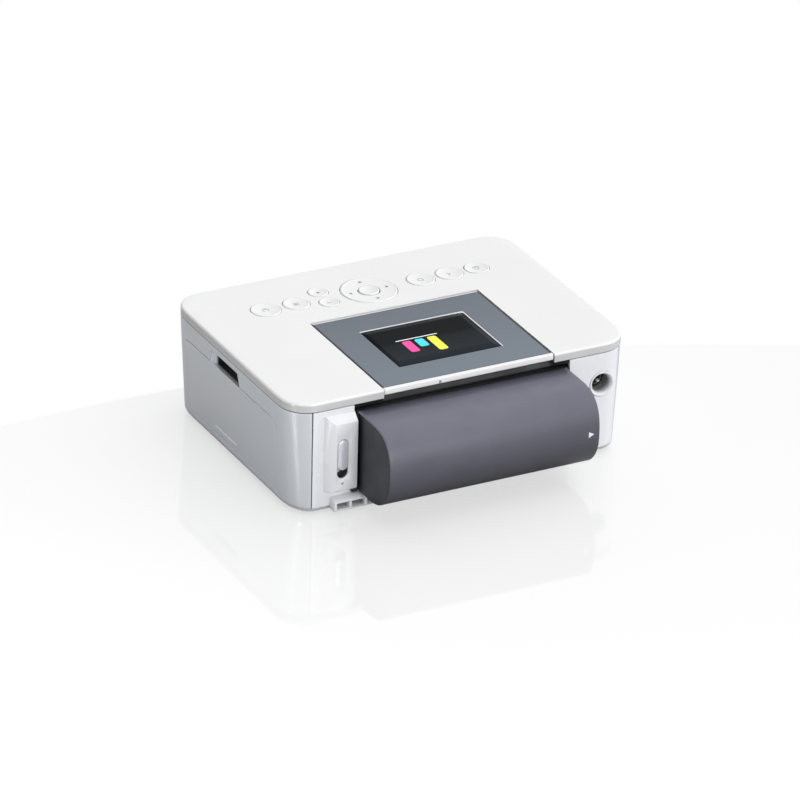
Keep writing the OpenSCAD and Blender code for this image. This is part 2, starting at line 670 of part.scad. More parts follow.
module thermal_head() in_frame() color(steel) {
  along_x(-52, 52) polygon([[-19, 46.4], [-19, 41], [-15, 37], [-13, 37], [-9, 41], [-9, 46.4]]);
  for (k = [0:12]) block(-50 + 8 * k, -46 + 8 * k, -20.5, -7.5, 44, 46.4);
  block(-plate_x, -51, -16, -12, 44, 46);
}

// gear outline: n teeth with straight flanks, turned by a0
function gear_points(n, m, a0) = [
  for (k = [0:n - 1])
    for (p = [[-0.34, m * (n / 2 - 1.25)], [-0.25, m * (n / 2 - 0.25)], [-0.11, m * (n / 2 + 0.9)],
              [0.11, m * (n / 2 + 0.9)], [0.25, m * (n / 2 - 0.25)], [0.34, m * (n / 2 - 1.25)]])
      let (a = a0 + (k + p[0] * 0.92) * 360 / n) [p[1] * cos(a), p[1] * sin(a)]
];

module drive_gear() in_frame() color(pale) difference() {
  translate([0, feed_y, feed_z]) along_x(gear_x0, gear_x1) polygon(gear_points(drive_teeth, gear_module, 0));
  rod_x(feed_shaft_r, gear_x0 - 1, gear_x1 + 1, feed_y, feed_z);
  for (a = [30:60:330])
    rod_x(1.7, gear_x0 - 1, gear_x1 + 1, feed_y + 6.3 * cos(a), feed_z + 6.3 * sin(a));
}

module motor_pinion() in_frame() color(pale) difference() {
  translate([0, feed_y + gear_centres, feed_z]) along_x(gear_x0, gear_x1 - 0.4)
    polygon(gear_points(pinion_teeth, gear_module, 180 + 180 / pinion_teeth));
  rod_x(1.05, gear_x0 - 1, gear_x1 + 1, feed_y + gear_centres, feed_z);
}

module drive_motor() in_frame() color(slate) {
  rod_x(motor_r, -80, -66.5, feed_y + gear_centres, feed_z);
  rod_x(1, -67, gear_x1 - 1, feed_y + gear_centres, feed_z);
  block(-68, -66.5, feed_y + gear_centres - motor_r, 52.5, panel_z, feed_z + motor_r);
}

module main_board() in_frame() color(green) {
  block(-plate_x, plate_x, 24, 51, 41, 42.6);
  for (c = [[-40, 32, 14], [-10, 36, 16], [22, 32, 12]]) block(c[0] - c[2] / 2, c[0] + c[2] / 2, c[1] - 6, c[1] + 6, 42.4, 44.4);
  for (x = [36, 44]) disc(3.2, x, 44, 42.4, 47);
}

// ---- ink cassette: two round housings and the frame between them ----

module ink_cassette() in_frame() color([0.55, 0.6, 0.66]) difference() {
  union() {
    rod_x(supply_r + cassette_wall, -50, 72, supply_y, spool_z);
    rod_x(take_up_r + cassette_wall, -50, 72, take_up_y, spool_z);
    block(60.4, 72, supply_y, take_up_y, spool_z - 0.8, spool_z + 8);
  }
  rod_x(supply_r, -49, 69, supply_y, spool_z);
  rod_x(take_up_r, -49, 69, take_up_y, spool_z);
  for (c = [supply_y, take_up_y]) rod_x(spool_end_r + pin_gap, -52, 74, c, spool_z);
  block(-51, 59, supply_y + 3, take_up_y - 3, spool_z - 14, spool_z + 5);
}

module spool(y, r) {
  rod_x(r, -46, 57, y, spool_z);
  rod_x(spool_end_r, -49.8, 71.6, y, spool_z);
  rod_x(r + 1, 57, 58, y, spool_z);
}

module supply_spool() in_frame() color([0.75, 0.6, 0.15]) spool(supply_y, 6.9);
module take_up_spool() in_frame() color([0.3, 0.3, 0.32]) spool(take_up_y, 5.4);

top_cover();
right_side_panel();
left_side_panel();
rear_panel();
front_panel();
base_plate();
feet();
case_screws();
rear_paper_slot();
latch_housing();
battery_bay();
battery_terminals();
dc_socket();
dc_socket_pin();
lcd_tray();
key_board();
card_reader();
usb_socket();
chassis();
main_board();
thermal_head();
drive_motor();
ink_cassette();
lcd_housing();
lcd_bezel();
lcd_panel();
lcd_window();
lcd_hinge_pins();
power_key();
menu_key();
zoom_in_key();
zoom_out_key();
ring_key();
centre_key();
edit_key();
back_key();
print_key();
ink_door();
ink_door_pins();
paper_flap();
paper_flap_pins();
latch_slider();
battery_shell();
battery_cap_left();
battery_cap_right();
battery_base();
battery_cells();
feed_roller();
drive_gear();
motor_pinion();
pinch_roller();
platen_roller();
supply_spool();
take_up_spool();
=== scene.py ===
"""Looks of a compact photo printer with a tilting screen and a clip-on battery pack, round its CAD frame."""

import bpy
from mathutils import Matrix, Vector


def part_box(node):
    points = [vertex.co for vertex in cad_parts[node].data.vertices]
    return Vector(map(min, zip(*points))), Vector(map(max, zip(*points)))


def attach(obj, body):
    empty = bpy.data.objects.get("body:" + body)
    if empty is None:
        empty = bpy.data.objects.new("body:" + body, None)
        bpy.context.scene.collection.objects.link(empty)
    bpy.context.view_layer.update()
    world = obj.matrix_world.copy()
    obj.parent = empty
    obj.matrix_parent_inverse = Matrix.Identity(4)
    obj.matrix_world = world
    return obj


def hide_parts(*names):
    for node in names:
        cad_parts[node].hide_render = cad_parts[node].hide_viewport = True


bl_info = {
    "name": "Compact Photo Printer",
    "version": (1, 0, 0),
    "blender": (4, 5, 0),
    "location": "View3D > Sidebar > Printer",
    "description": "Casing, screen, keys, ink door and battery pack of a compact photo printer",
    "category": "Add Mesh",
}

import math

import bmesh
import bpy
import numpy as np
from mathutils import Matrix, Vector
from mathutils.geometry import delaunay_2d_cdt

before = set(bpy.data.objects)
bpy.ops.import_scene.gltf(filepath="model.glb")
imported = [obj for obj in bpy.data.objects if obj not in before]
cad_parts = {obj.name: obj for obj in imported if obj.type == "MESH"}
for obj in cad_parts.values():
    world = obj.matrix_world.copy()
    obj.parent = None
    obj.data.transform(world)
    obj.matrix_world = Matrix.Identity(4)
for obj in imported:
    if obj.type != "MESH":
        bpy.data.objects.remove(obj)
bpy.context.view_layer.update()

# ---- sizes: millimetres, y counted from the middle of the printer's own body ----

MM = 0.001
ROOT = "printer"


def node_box(name):
    """Lowest and highest corner of a CAD node in millimetres, in the row frame."""
    low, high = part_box(name)
    return np.array(low) / MM, np.array(high) / MM


BODY_LOW, BODY_HIGH = node_box("rear_panel")
FRONT_LOW, _ = node_box("front_panel")
BODY_Y = (BODY_HIGH[1] + FRONT_LOW[1]) / 2          # middle of the body in the row frame
HALF_D = (BODY_HIGH[1] - FRONT_LOW[1]) / 2
HALF_W = node_box("top_cover")[1][0]
COVER_TOP = node_box("top_cover")[1][2]
PANEL_TOP = BODY_HIGH[2]
PANEL_Z = BODY_LOW[2]
BAND_Z = PANEL_TOP + 0.5                            # lower edge of the cover's side band
BASE_Z = node_box("base_plate")[0][2]
CORNER_R = 14.0
TAIL_R, TAIL_TURN = 38.0, math.radians(9)           # each corner eases into the side through a long tail
FOOT_R = 3.0
DRAW_TOP, DRAW_SPAN, DRAW_POWER = 53.0, 50.0, 1.1   # the side walls draw in below this height
SIDE_WALL = 1.7                                     # thickness of the shown panels
SEAM_X = node_box("right_side_panel")[0][0]
LEFT_SEAM_X = -node_box("left_side_panel")[1][0]
SEAM_GAP = 0.5
COVER_WALL, DOOR_WALL, BASE_WALL, PACK_WALL = 1.4, 2.1, 1.6, 1.6
STRIP_WALL, STRIP_HALF = 0.8, 2.0                   # strips of painted shade behind the seams: wall and half width
RIB_Z0, RIB_Z1 = 50.8, 55.0                         # rib inside the cover

AIR_SLOTS, AIR_SLOT_X, AIR_SLOT_PITCH = 6, -62.0, 8.0   # in the base plate
AIR_SLOT_W, AIR_SLOT_Y0, AIR_SLOT_Y1 = 4.0, 20.0, 46.0
SCREW_X, SCREW_YS, SCREW_R = 44.0, (-56.0, 54.0), 2.2

SCREEN_LOW, SCREEN_HIGH = node_box("lcd_bezel")
UNIT_HIGH = node_box("lcd_housing")[1]
WINDOW_LOW, WINDOW_HIGH = node_box("lcd_window")
SCREEN_X0, SCREEN_X1 = SCREEN_LOW[0], SCREEN_HIGH[0]
SCREEN_FRONT = SCREEN_LOW[1] - BODY_Y
SCREEN_REAR = UNIT_HIGH[1] - BODY_Y
SCREEN_TOP = SCREEN_HIGH[2]
SCREEN_GAP = 0.4

BAY_WALL, BAY_FLOOR = 1.2, 1.4
BAY_LOW, BAY_HIGH = node_box("battery_bay")
BAY_X0, BAY_X1 = BAY_LOW[0] + BAY_WALL, BAY_HIGH[0] - BAY_WALL
BAY_BOTTOM = BAY_LOW[2] + BAY_FLOOR
PACK_LOW, PACK_HIGH = node_box("battery_shell")
PACK_X0 = node_box("battery_cap_left")[0][0]
PACK_X1 = node_box("battery_cap_right")[1][0]
PACK_Y = PACK_LOW[1] - BODY_Y
PACK_BACK = PACK_HIGH[1] - BODY_Y
PACK_Z0, PACK_Z1 = PACK_LOW[2], PACK_HIGH[2]
PACK_CROWN = 20.2                                   # depth of the section's round part
ARROW_LENGTH = 45.3                                 # place of the arrow along the section from its upper root

DOOR_LOW, DOOR_HIGH = node_box("ink_door")
DOOR_FRONT, DOOR_REAR, DOOR_TOP = DOOR_LOW[1] - BODY_Y, DOOR_HIGH[1] - BODY_Y, DOOR_HIGH[2]
DOOR_FOOT = DOOR_LOW[2]
DOOR_GAP = 0.35                                     # above the door
SIDE_GAP = 0.12                                     # at its front, rear and foot
DOOR_CORNER = 6.0
NOTCH_TOP = 49.9
NOTCH_FRONT, NOTCH_REAR = -22.0, 9.4                # at the door's upper edge

FLAP_X = 52.6
FLAP_Z0, FLAP_Z1 = 6.1, 26.0
CARD_OPENING = (-63.4, -37.6, 36.6, 47.4)           # x0, x1, z0, z1 in the front wall
USB_OPENING = (-22.1, -7.9, 39.1, 45.9)

JACK_LOW, JACK_HIGH = node_box("dc_socket")
JACK_X, JACK_Z = (JACK_LOW[0] + JACK_HIGH[0]) / 2, (JACK_LOW[2] + JACK_HIGH[2]) / 2
JACK_R = (JACK_HIGH[0] - JACK_LOW[0]) / 2
LATCH_LOW, LATCH_HIGH = node_box("latch_slider")
LATCH_X = (LATCH_LOW[0] + LATCH_HIGH[0]) / 2
LATCH_OPENING = (LATCH_X - 5.8, LATCH_X + 5.4, 15.2, 43.8)   # x0, x1, z0, z1 in the rear wall
LATCH_TRAVEL = 4.2
SLOT_W, SLOT_WEB = 6.6, 1.2
SLOT_X1 = node_box("rear_paper_slot")[1][0] - SLOT_WEB
SLOT_Z0, SLOT_Z1 = 3.1, 6.4
SLOT_PAIRS = 8

KEY_GAP = 0.2                                       # between a key and its hole
KEY_FLANGE, FLANGE_TALL = 0.5, 0.9                  # a key's flange under the cover
KEY_SHOULDER = 2.0                                  # where its rim starts, above its foot
REAR_LIP = 1.9                                      # white lip of the housing behind the slate frame
FRAME_EDGES = (SCREEN_X0 + 0.7, SCREEN_X1 - 0.7, SCREEN_FRONT + 1.9, SCREEN_REAR - REAR_LIP - 0.4)
FAR = 1000.0                                        # a point this far off sees a sheet from one side only


def quarter_outline():
    """A quarter of the body's outline from above, from the middle of the rear to the middle of the side.
    The direction turns evenly round the corner and then slowly over a tail; points are its running sum."""
    main_turn = math.pi / 2 - TAIL_TURN
    main_r = (CORNER_R + 0.2 - TAIL_R * (1 - math.cos(TAIL_TURN))) / math.sin(main_turn)
    across = main_r * math.sin(main_turn) + TAIL_R * (1 - math.cos(TAIL_TURN))
    down = main_r * (1 - math.cos(main_turn)) + TAIL_R * math.sin(TAIL_TURN)
    straight, side = HALF_W - across, HALF_D - down
    turn = np.concatenate([[0.0], np.linspace(0, main_turn, 60),
                           np.linspace(main_turn, math.pi / 2, 20)[1:], [math.pi / 2]])
    step = np.concatenate([[straight], main_r * np.diff(turn[1:61]), TAIL_R * np.diff(turn[60:80]), [side]])
    middle = (turn[1:] + turn[:-1]) / 2
    middle[0], middle[-1] = 0.0, math.pi / 2
    x = np.concatenate([[0.0], np.cumsum(step * np.cos(middle))])
    y = HALF_D - np.concatenate([[0.0], np.cumsum(step * np.sin(middle))])
    length = np.concatenate([[0.0], np.cumsum(step)])
    return length, x * HALF_W / x[-1], y - y[-1] * length / length[-1], turn


Q_LENGTH, Q_X, Q_Y, Q_TURN = quarter_outline()
QUARTER = Q_LENGTH[-1]                              # outline length at the middle of the side
HALF_TURN = 2 * QUARTER                             # and at the middle of the front edge
FRONT_MIDDLE = HALF_TURN - 1e-6                     # just short of it, on the ink door's side
CORNER_FROM, CORNER_TO = Q_LENGTH[1], Q_LENGTH[-2]  # the corner's part of the quarter


# ---- settings ----


class PrinterSizes(bpy.types.PropertyGroup):
    """Sizes of the looks that the frame leaves open."""

    cover_roll: bpy.props.FloatProperty(
        name="Cover roll", description="Radius of the top cover's rolled edge, in millimetres", default=1.1,
        min=0.5, max=3.0
    )
    edge_break: bpy.props.FloatProperty(
        name="Edge break", description="Width of the rounding on moulded edges, in millimetres", default=0.3
    )
    side_draw: bpy.props.FloatProperty(
        name="Side draw", description="How far the sides draw in at the base, in millimetres", default=2.8
    )
    key_dish: bpy.props.FloatProperty(
        name="Key dish", description="How deep the keys are hollowed, in millimetres", default=0.5
    )


class PrinterColours(bpy.types.PropertyGroup):
    """Colours of the main mouldings."""

    cover: bpy.props.FloatVectorProperty(
        name="Cover", description="White of the top cover", subtype="COLOR", default=(0.785, 0.785, 0.79)
    )
    side: bpy.props.FloatVectorProperty(
        name="Side", description="Silver of the side panels", subtype="COLOR", default=(0.62, 0.645, 0.68)
    )
    rear: bpy.props.FloatVectorProperty(
        name="Rear", description="Pale pearl of the rear panel", subtype="COLOR", default=(0.74, 0.75, 0.78)
    )
    bezel: bpy.props.FloatVectorProperty(
        name="Bezel", description="Slate of the screen's frame", subtype="COLOR", default=(0.104, 0.133, 0.17)
    )
    pack: bpy.props.FloatVectorProperty(
        name="Battery", description="Grey of the battery pack", subtype="COLOR", default=(0.062, 0.062, 0.082)
    )


# ---- finishes: each is a small node material on Object coordinates ----


def new_material(name):
    material = bpy.data.materials.new(name)
    material.use_nodes = True
    tree = material.node_tree
    return material, tree, tree.nodes["Principled BSDF"]


def feed(tree, node, inputs):
    """Sets a node's inputs, by name or number: each to a value, or linked from another node's output."""
    for key, value in inputs.items():
        if isinstance(value, bpy.types.NodeSocket):
            tree.links.new(value, node.inputs[key])
        else:
            node.inputs[key].default_value = value


def add_node(tree, kind, inputs=None, operation=None):
    node = tree.nodes.new("ShaderNode" + kind)
    if operation:
        node.operation = operation
    feed(tree, node, inputs or {})
    return node


def object_place(tree):
    return add_node(tree, "TexCoord").outputs["Object"]


def object_noise(tree, scale, detail=3.0, roughness=0.55):
    """Noise on Object coordinates, scale in waves per metre."""
    noise = {"Vector": object_place(tree), "Scale": scale, "Detail": detail, "Roughness": roughness}
    return add_node(tree, "TexNoise", noise).outputs["Fac"]


def map_span(tree, value, to, source=(0.0, 1.0)):
    """A value carried from one span to another."""
    ends = {"From Min": source[0], "From Max": source[1], "To Min": to[0], "To Max": to[1]}
    return add_node(tree, "MapRange", {"Value": value, **ends}).outputs["Result"]


def colour_ramp(tree, value, first, last, *between):
    """Colour that follows a value from 0 to 1; each stop is its place and its colour."""
    ramp = add_node(tree, "ValToRGB", {"Fac": value})
    stops = ramp.color_ramp.elements
    for stop, (place, colour) in zip((stops[0], stops[1]), (first, last)):
        stop.position = place
        stop.color = (*colour, 1)
    for place, colour in between:
        stops.new(place).color = (*colour, 1)
    return ramp.outputs["Color"]


def tint(tree, shader, colour, spread, scale, places=(0.35, 0.65)):
    """Base colour that drifts between two close shades."""
    low = [max(0.0, c * (1 - spread)) for c in colour]
    high = [min(1.0, c * (1 + spread)) for c in colour]
    shade = colour_ramp(tree, object_noise(tree, scale), (places[0], low), (places[1], high))
    feed(tree, shader, {"Base Color": shade})
    return shade


def relief(tree, shader, height, strength, depth):
    """Bump that follows a height; depth in metres."""
    bump = add_node(tree, "Bump", {"Strength": strength, "Distance": depth, "Height": height})
    feed(tree, shader, {"Normal": bump.outputs["Normal"]})


def grain(tree, shader, scale, strength):
    """Fine moulded grain, a tenth of a millimetre deep."""
    relief(tree, shader, object_noise(tree, scale, detail=4.0), strength, 0.0001)


def drift(tree, shader, low, high, scale):
    """Roughness that drifts between low and high, as handled plastic does."""
    feed(tree, shader, {"Roughness": map_span(tree, object_noise(tree, scale), (low, high), (0.3, 0.7))})


def coat(shader, weight, rough):
    shader.inputs["Coat Weight"].default_value = weight
    shader.inputs["Coat Roughness"].default_value = rough


def gloss_plastic(name, colour, rough=0.16, gloss=0.3, spread=0.012):
    material, tree, shader = new_material(name)
    tint(tree, shader, colour, spread, 18)
    drift(tree, shader, rough * 0.8, rough * 1.35, 45)
    grain(tree, shader, 900, 0.05)
    coat(shader, gloss, 0.05)
    return material


def satin_plastic(name, colour, rough=0.42, spread=0.04, grain_strength=0.18):
    material, tree, shader = new_material(name)
    tint(tree, shader, colour, spread, 60)
    drift(tree, shader, rough * 0.85, rough * 1.2, 70)
    grain(tree, shader, 2600, grain_strength)
    return material


def pearl_paint(name, colour, rough=0.3, fleck=0.015):
    """Pearl silver: faint bright flecks under a thin clear coat."""
    material, tree, shader = new_material(name)
    tint(tree, shader, colour, fleck, 5200, places=(0.42, 0.62))
    drift(tree, shader, rough * 0.94, rough * 1.06, 40)
    shader.inputs["Metallic"].default_value = 0.3
    coat(shader, 0.15, 0.15)
    return material


def brushed_metal(name, colour, rough=0.3, axis=0, metallic=1.0, strength=0.1):
    """Metal with fine lines along one axis: noise drawn out along it."""
    material, tree, shader = new_material(name)
    shader.inputs["Metallic"].default_value = metallic
    stretch = [2400.0, 2400.0, 2400.0]
    stretch[axis] = 30.0
    mapping = add_node(tree, "Mapping", {"Scale": stretch, "Vector": object_place(tree)})
    noise = add_node(tree, "TexNoise", {"Scale": 1.0, "Detail": 3.0, "Vector": mapping.outputs["Vector"]})
    lines = noise.outputs["Fac"]
    low, high = [c * 0.93 for c in colour], [min(1, c * 1.06) for c in colour]
    feed(tree, shader, {
        "Base Color": colour_ramp(tree, lines, (0.3, low), (0.7, high)),
        "Roughness": map_span(tree, lines, (rough * 0.8, rough * 1.25)),
    })
    relief(tree, shader, lines, strength, 0.00005)
    return material


def circuit_board(name):
    """Green board: darker tracks between bright speckles of solder."""
    material, tree, shader = new_material(name)
    tracks = add_node(tree, "TexBrick", {
        "Vector": object_place(tree), "Scale": 160, "Color1": (0.02, 0.13, 0.06, 1),
        "Color2": (0.03, 0.17, 0.08, 1), "Mortar": (0.05, 0.24, 0.11, 1), "Mortar Size": 0.012,
    })
    feed(tree, shader, {"Base Color": tracks.outputs["Color"]})
    drift(tree, shader, 0.3, 0.5, 300)
    return material


def wound_film(name, colour):
    """Film wound on a spool: fine rings along the axis."""
    material, tree, shader = new_material(name)
    rings = add_node(tree, "TexWave", {"Vector": object_place(tree), "Scale": 260, "Distortion": 1.5})
    rings.bands_direction = "X"
    shade = colour_ramp(tree, rings.outputs["Fac"], (0.0, [c * 0.7 for c in colour]), (1.0, colour))
    feed(tree, shader, {"Base Color": shade})
    drift(tree, shader, 0.15, 0.3, 120)
    return material


def place_along(tree, axis, start, end, to=(0.0, 1.0)):
    """A value that runs along an axis of the object, from start to end in millimetres."""
    parts = add_node(tree, "SeparateXYZ", {"Vector": object_place(tree)})
    return map_span(tree, parts.outputs[axis], to, (start * MM, end * MM))


def scaled(tree, colour, factor):
    return add_node(tree, "VectorMath", {0: colour, "Scale": factor}, operation="SCALE").outputs["Vector"]


def grade(material, axis, start, end, low, high):
    """Scales the base colour along an axis, from low at start to high at end, in millimetres."""
    tree = material.node_tree
    shader = tree.nodes["Principled BSDF"]
    source = shader.inputs["Base Color"].links[0].from_socket
    feed(tree, shader, {"Base Color": scaled(tree, source, place_along(tree, axis, start, end, (low, high)))})
    return shader


def slate_painted_light(name, colour):
    """The screen frame's slate metal with painted light: darker at its front edge, paler towards the battery.
    """
    material = brushed_metal(name, colour, rough=0.3, axis=0, metallic=0.55, strength=0.05)
    coat(grade(material, "Y", SCREEN_FRONT + BODY_Y, SCREEN_REAR + BODY_Y, 0.82, 1.22), 0.3, 0.08)
    return material


def glass_screen(name):
    """Display behind clear glass: near black, with a painted reflection that makes it a little paler towards
    the battery.
    """
    material, tree, shader = new_material(name)
    shade = colour_ramp(
        tree, place_along(tree, "Y", WINDOW_LOW[1], WINDOW_HIGH[1]), (0.0, (0.004, 0.0055, 0.0065)),
        (1.0, (0.024, 0.03, 0.037)), (0.4, (0.005, 0.0065, 0.0075)), (0.47, (0.012, 0.0155, 0.018)),
    )
    feed(tree, shader, {"Base Color": shade})
    drift(tree, shader, 0.06, 0.1, 40)
    shader.inputs["Specular IOR Level"].default_value = 0.02
    return material


def notch_painted_light(name, colour):
    """The panel's silver with a painted highlight on the notch's ramp and roof, and painted shade near black
    in its depth, which lies towards -X.
    """
    material, tree, shader = new_material(name)
    tint(tree, shader, colour, 0.02, 900)
    grade(material, "X", HALF_W - 3.1, HALF_W - 2.2, 0.04, 1.15)
    shader.inputs["Roughness"].default_value = 0.4
    return material


def cover_painted_shade(name, colour):
    """The cover's white gloss with painted shade: greyer on the side band below its rolled edge."""
    material = gloss_plastic(name, colour, rough=0.17, gloss=0.25)
    grade(material, "Z", COVER_TOP - 1.3, COVER_TOP - 0.5, 0.68, 1.0)
    return material


def socket_painted_shade(name, colour):
    """The rear panel's white on the socket's rolled rim, with painted shade down its sleeve."""
    material = gloss_plastic(name, colour, rough=0.25, gloss=0.2)
    grade(material, "Y", HALF_D + BODY_Y - 3.5, HALF_D + BODY_Y - 0.3, 0.3, 1.0)
    return material


def pack_painted_light(name, colour):
    """The battery shell's satin grey with painted light: a painted sheen towards its upper shoulder and
    painted shade below.
    """
    material = satin_plastic(name, colour, rough=0.38, spread=0.05, grain_strength=0.12)
    grade(material, "Z", PACK_Z0, PACK_Z1, 0.15, 2.1)
    return material


def printed(name, colour, glow=0.0):
    """Ink or lit picture element."""
    material, tree, shader = new_material(name)
    tint(tree, shader, colour, 0.05, 400)
    drift(tree, shader, 0.2, 0.3, 200)
    if glow:
        feed(tree, shader, {"Emission Color": (*colour, 1), "Emission Strength": glow})
    return material


FINISH = {}


def make_finishes():
    colours = bpy.context.scene.printer_colours
    cover, side, rear = tuple(colours.cover), tuple(colours.side), tuple(colours.rear)
    FINISH.update(
        cover_white=gloss_plastic("cover_white", cover, rough=0.17, gloss=0.25),
        cover_shade=cover_painted_shade("cover_shade", cover),
        key_white=gloss_plastic("key_white", cover, rough=0.14, gloss=0.4),
        panel_silver=pearl_paint("panel_silver", side),
        panel_pale=gloss_plastic("panel_pale", rear, rough=0.22),
        notch_shade=notch_painted_light("notch_shade", side),
        socket_white=socket_painted_shade("socket_white", rear),
        foot_rubber=satin_plastic("foot_rubber", (0.02, 0.02, 0.02), rough=0.7, spread=0.15),
        # black of the real dark parts, and also painted shade on the dark sheets put in gaps, slots and
        # behind seams
        dark_plastic=satin_plastic("dark_plastic", (0.012, 0.012, 0.014), rough=0.5, spread=0.1),
        socket_black=satin_plastic("socket_black", (0.02, 0.02, 0.022), rough=0.3, spread=0.08),
        bezel_metal=slate_painted_light("bezel_metal", tuple(colours.bezel)),
        bright_trim=brushed_metal("bright_trim", (0.78, 0.79, 0.82), rough=0.22, axis=0, strength=0.04),
        screen_dark=glass_screen("screen_dark"),
        battery_grey=pack_painted_light("battery_grey", tuple(colours.pack)),
        battery_end=satin_plastic("battery_end", (0.017, 0.019, 0.025), rough=0.5, spread=0.05),
        cell_wrap=gloss_plastic("cell_wrap", (0.05, 0.2, 0.42), rough=0.25),
        bright_steel=brushed_metal("bright_steel", (0.62, 0.63, 0.65), rough=0.3, axis=1),
        plated_metal=brushed_metal("plated_metal", (0.75, 0.75, 0.77), rough=0.15, axis=2),
        board_green=circuit_board("board_green"),
        roller_rubber=satin_plastic("roller_rubber", (0.03, 0.03, 0.032), rough=0.65, spread=0.12),
        gear_plastic=satin_plastic("gear_plastic", (0.72, 0.71, 0.66), rough=0.4),
        cassette_grey=satin_plastic("cassette_grey", (0.42, 0.47, 0.53), rough=0.4),
        ribbon_gold=wound_film("ribbon_gold", (0.5, 0.33, 0.06)),
        # grey of printed marks, and also painted shade on the housing's small notch
        mark_grey=printed("mark_grey", (0.24, 0.25, 0.27)),
        mark_pale=printed("mark_pale", (0.72, 0.74, 0.78)),
        tile_magenta=printed("tile_magenta", (0.75, 0.02, 0.25), glow=0.35),
        tile_yellow=printed("tile_yellow", (0.85, 0.8, 0.02), glow=0.35),
        tile_cyan=printed("tile_cyan", (0.01, 0.55, 0.62), glow=0.35),
        tile_white=printed("tile_white", (0.7, 0.75, 0.8), glow=0.3),
    )


# ---- mesh helpers ----


def to_row(points):
    """Millimetres about the body's middle to metres in the row frame."""
    points = np.asarray(points, float)
    return (points + np.array([0.0, BODY_Y, 0.0])) * MM


def make_piece(name, points, faces, body, slot, smooth=True, replaces=(), finish=None):
    """A mesh piece from points in millimetres and faces by index, its doubles merged."""
    mesh = bpy.data.meshes.new(name)
    mesh.from_pydata(to_row(points).tolist(), [], [list(map(int, f)) for f in faces])
    mesh.validate()
    work = bmesh.new()
    work.from_mesh(mesh)
    bmesh.ops.remove_doubles(work, verts=work.verts, dist=0.002 * MM)
    bmesh.ops.dissolve_degenerate(work, edges=work.edges, dist=0.0005 * MM)
    work.to_mesh(mesh)
    work.free()
    mesh.materials.append(FINISH[finish or slot])
    if smooth:
        mesh.shade_smooth()
    piece = bpy.data.objects.new(name, mesh)
    bpy.context.scene.collection.objects.link(piece)
    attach(piece, body)
    if replaces:
        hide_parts(*replaces)
    return piece


def outward(piece, seen_from=None):
    """Makes a closed piece's faces point out. Those of an open sheet point towards a point that sees it."""
    work = bmesh.new()
    work.from_mesh(piece.data)
    bmesh.ops.recalc_face_normals(work, faces=work.faces)
    if seen_from is not None:
        target = Vector(to_row([seen_from])[0])
        nearest = min(work.faces, key=lambda f: (f.calc_center_median() - target).length)
        if nearest.normal.dot(target - nearest.calc_center_median()) < 0:
            bmesh.ops.reverse_faces(work, faces=work.faces)
    work.to_mesh(piece.data)
    work.free()
    return piece


def away_from(piece, place, sign=1):
    """Turns every single face away from a point, given in millimetres, or towards it if sign is -1."""
    target = Vector(to_row([place])[0])
    work = bmesh.new()
    work.from_mesh(piece.data)
    turned = [f for f in work.faces if sign * f.normal.dot(f.calc_center_median() - target) < 0]
    bmesh.ops.reverse_faces(work, faces=turned)
    work.to_mesh(piece.data)
    work.free()
    return piece


def upward(piece):
    """Turns a flat piece's faces up, whatever their order."""
    return away_from(piece, (0, 0, -FAR))


def thicken(piece, wall):
    """Gives a sheet a wall, grown inwards from its shown face."""
    solid = piece.modifiers.new("Wall", "SOLIDIFY")
    solid.thickness = wall * MM
    solid.offset = -1
    solid.use_even_offset = False
    return piece


def round_edges(piece, width, segments=3, angle=40.0):
    """Rounds sharp edges and evens the shading of the flats beside them."""
    bevel = piece.modifiers.new("Edges", "BEVEL")
    bevel.width = width * MM
    bevel.segments = segments
    bevel.limit_method = "ANGLE"
    bevel.angle_limit = math.radians(angle)
    bevel.use_clamp_overlap = True
    bevel.harden_normals = True
    return piece


def finish_node(name, finish, width=0.2, angle=40.0):
    """A CAD node that stays: merged, its edges broken, in its own finish."""
    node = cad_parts[name]
    for slot in node.material_slots:
        slot.material = FINISH[finish]
    if not node.material_slots:
        node.data.materials.append(FINISH[finish])
    if width:
        node.data.shade_smooth()
        weld = node.modifiers.new("Weld", "WELD")
        weld.merge_threshold = 0.002 * MM
        round_edges(node, width, segments=2, angle=angle)
    return node


def grid_faces(rows, columns, close_rows=False, close_columns=False, offset=0):
    """Quads of a grid of rows by columns, optionally closed on itself either way."""
    r = np.arange(rows if close_rows else rows - 1)
    c = np.arange(columns if close_columns else columns - 1)
    a, b = np.meshgrid(r, c, indexing="ij")
    a2, b2 = (a + 1) % rows, (b + 1) % columns
    quads = np.stack([a * columns + b, a * columns + b2, a2 * columns + b2, a2 * columns + b], -1)
    return quads.reshape(-1, 4) + offset


def inside(points, polygon):
    """Which points lie in the polygon: crossings of a ray, as whole arrays."""
    x, y = points[:, 0][:, None], points[:, 1][:, None]
    px, py = polygon[:, 0][None], polygon[:, 1][None]
    qx, qy = np.roll(px, -1, 1), np.roll(py, -1, 1)
    crosses = (py > y) != (qy > y)
    at = px + (y - py) / np.where(qy == py, 1e-12, qy - py) * (qx - px)
    return (crosses & (x < at)).sum(1) % 2 == 1


def near_edges(points, polygon, distance):
    """Which points are closer than distance to the polygon's edges."""
    a = polygon[None]
    b = np.roll(polygon, -1, 0)[None]
    p = points[:, None]
    ab = b - a
    t = np.clip(((p - a) * ab).sum(-1) / np.maximum((ab**2).sum(-1), 1e-12), 0, 1)
    return (np.linalg.norm(p - (a + t[..., None] * ab), axis=-1) < distance).any(1)


def subdivide_loop(loop, step):
    """The loop with points added so that no edge is longer than step."""
    out = []
    for p, q in zip(loop, np.roll(loop, -1, 0)):
        count = max(1, int(math.ceil(np.linalg.norm(q - p) / step)))
        out.append(p + (q - p) * (np.arange(count) / count)[:, None])
    return np.concatenate(out)


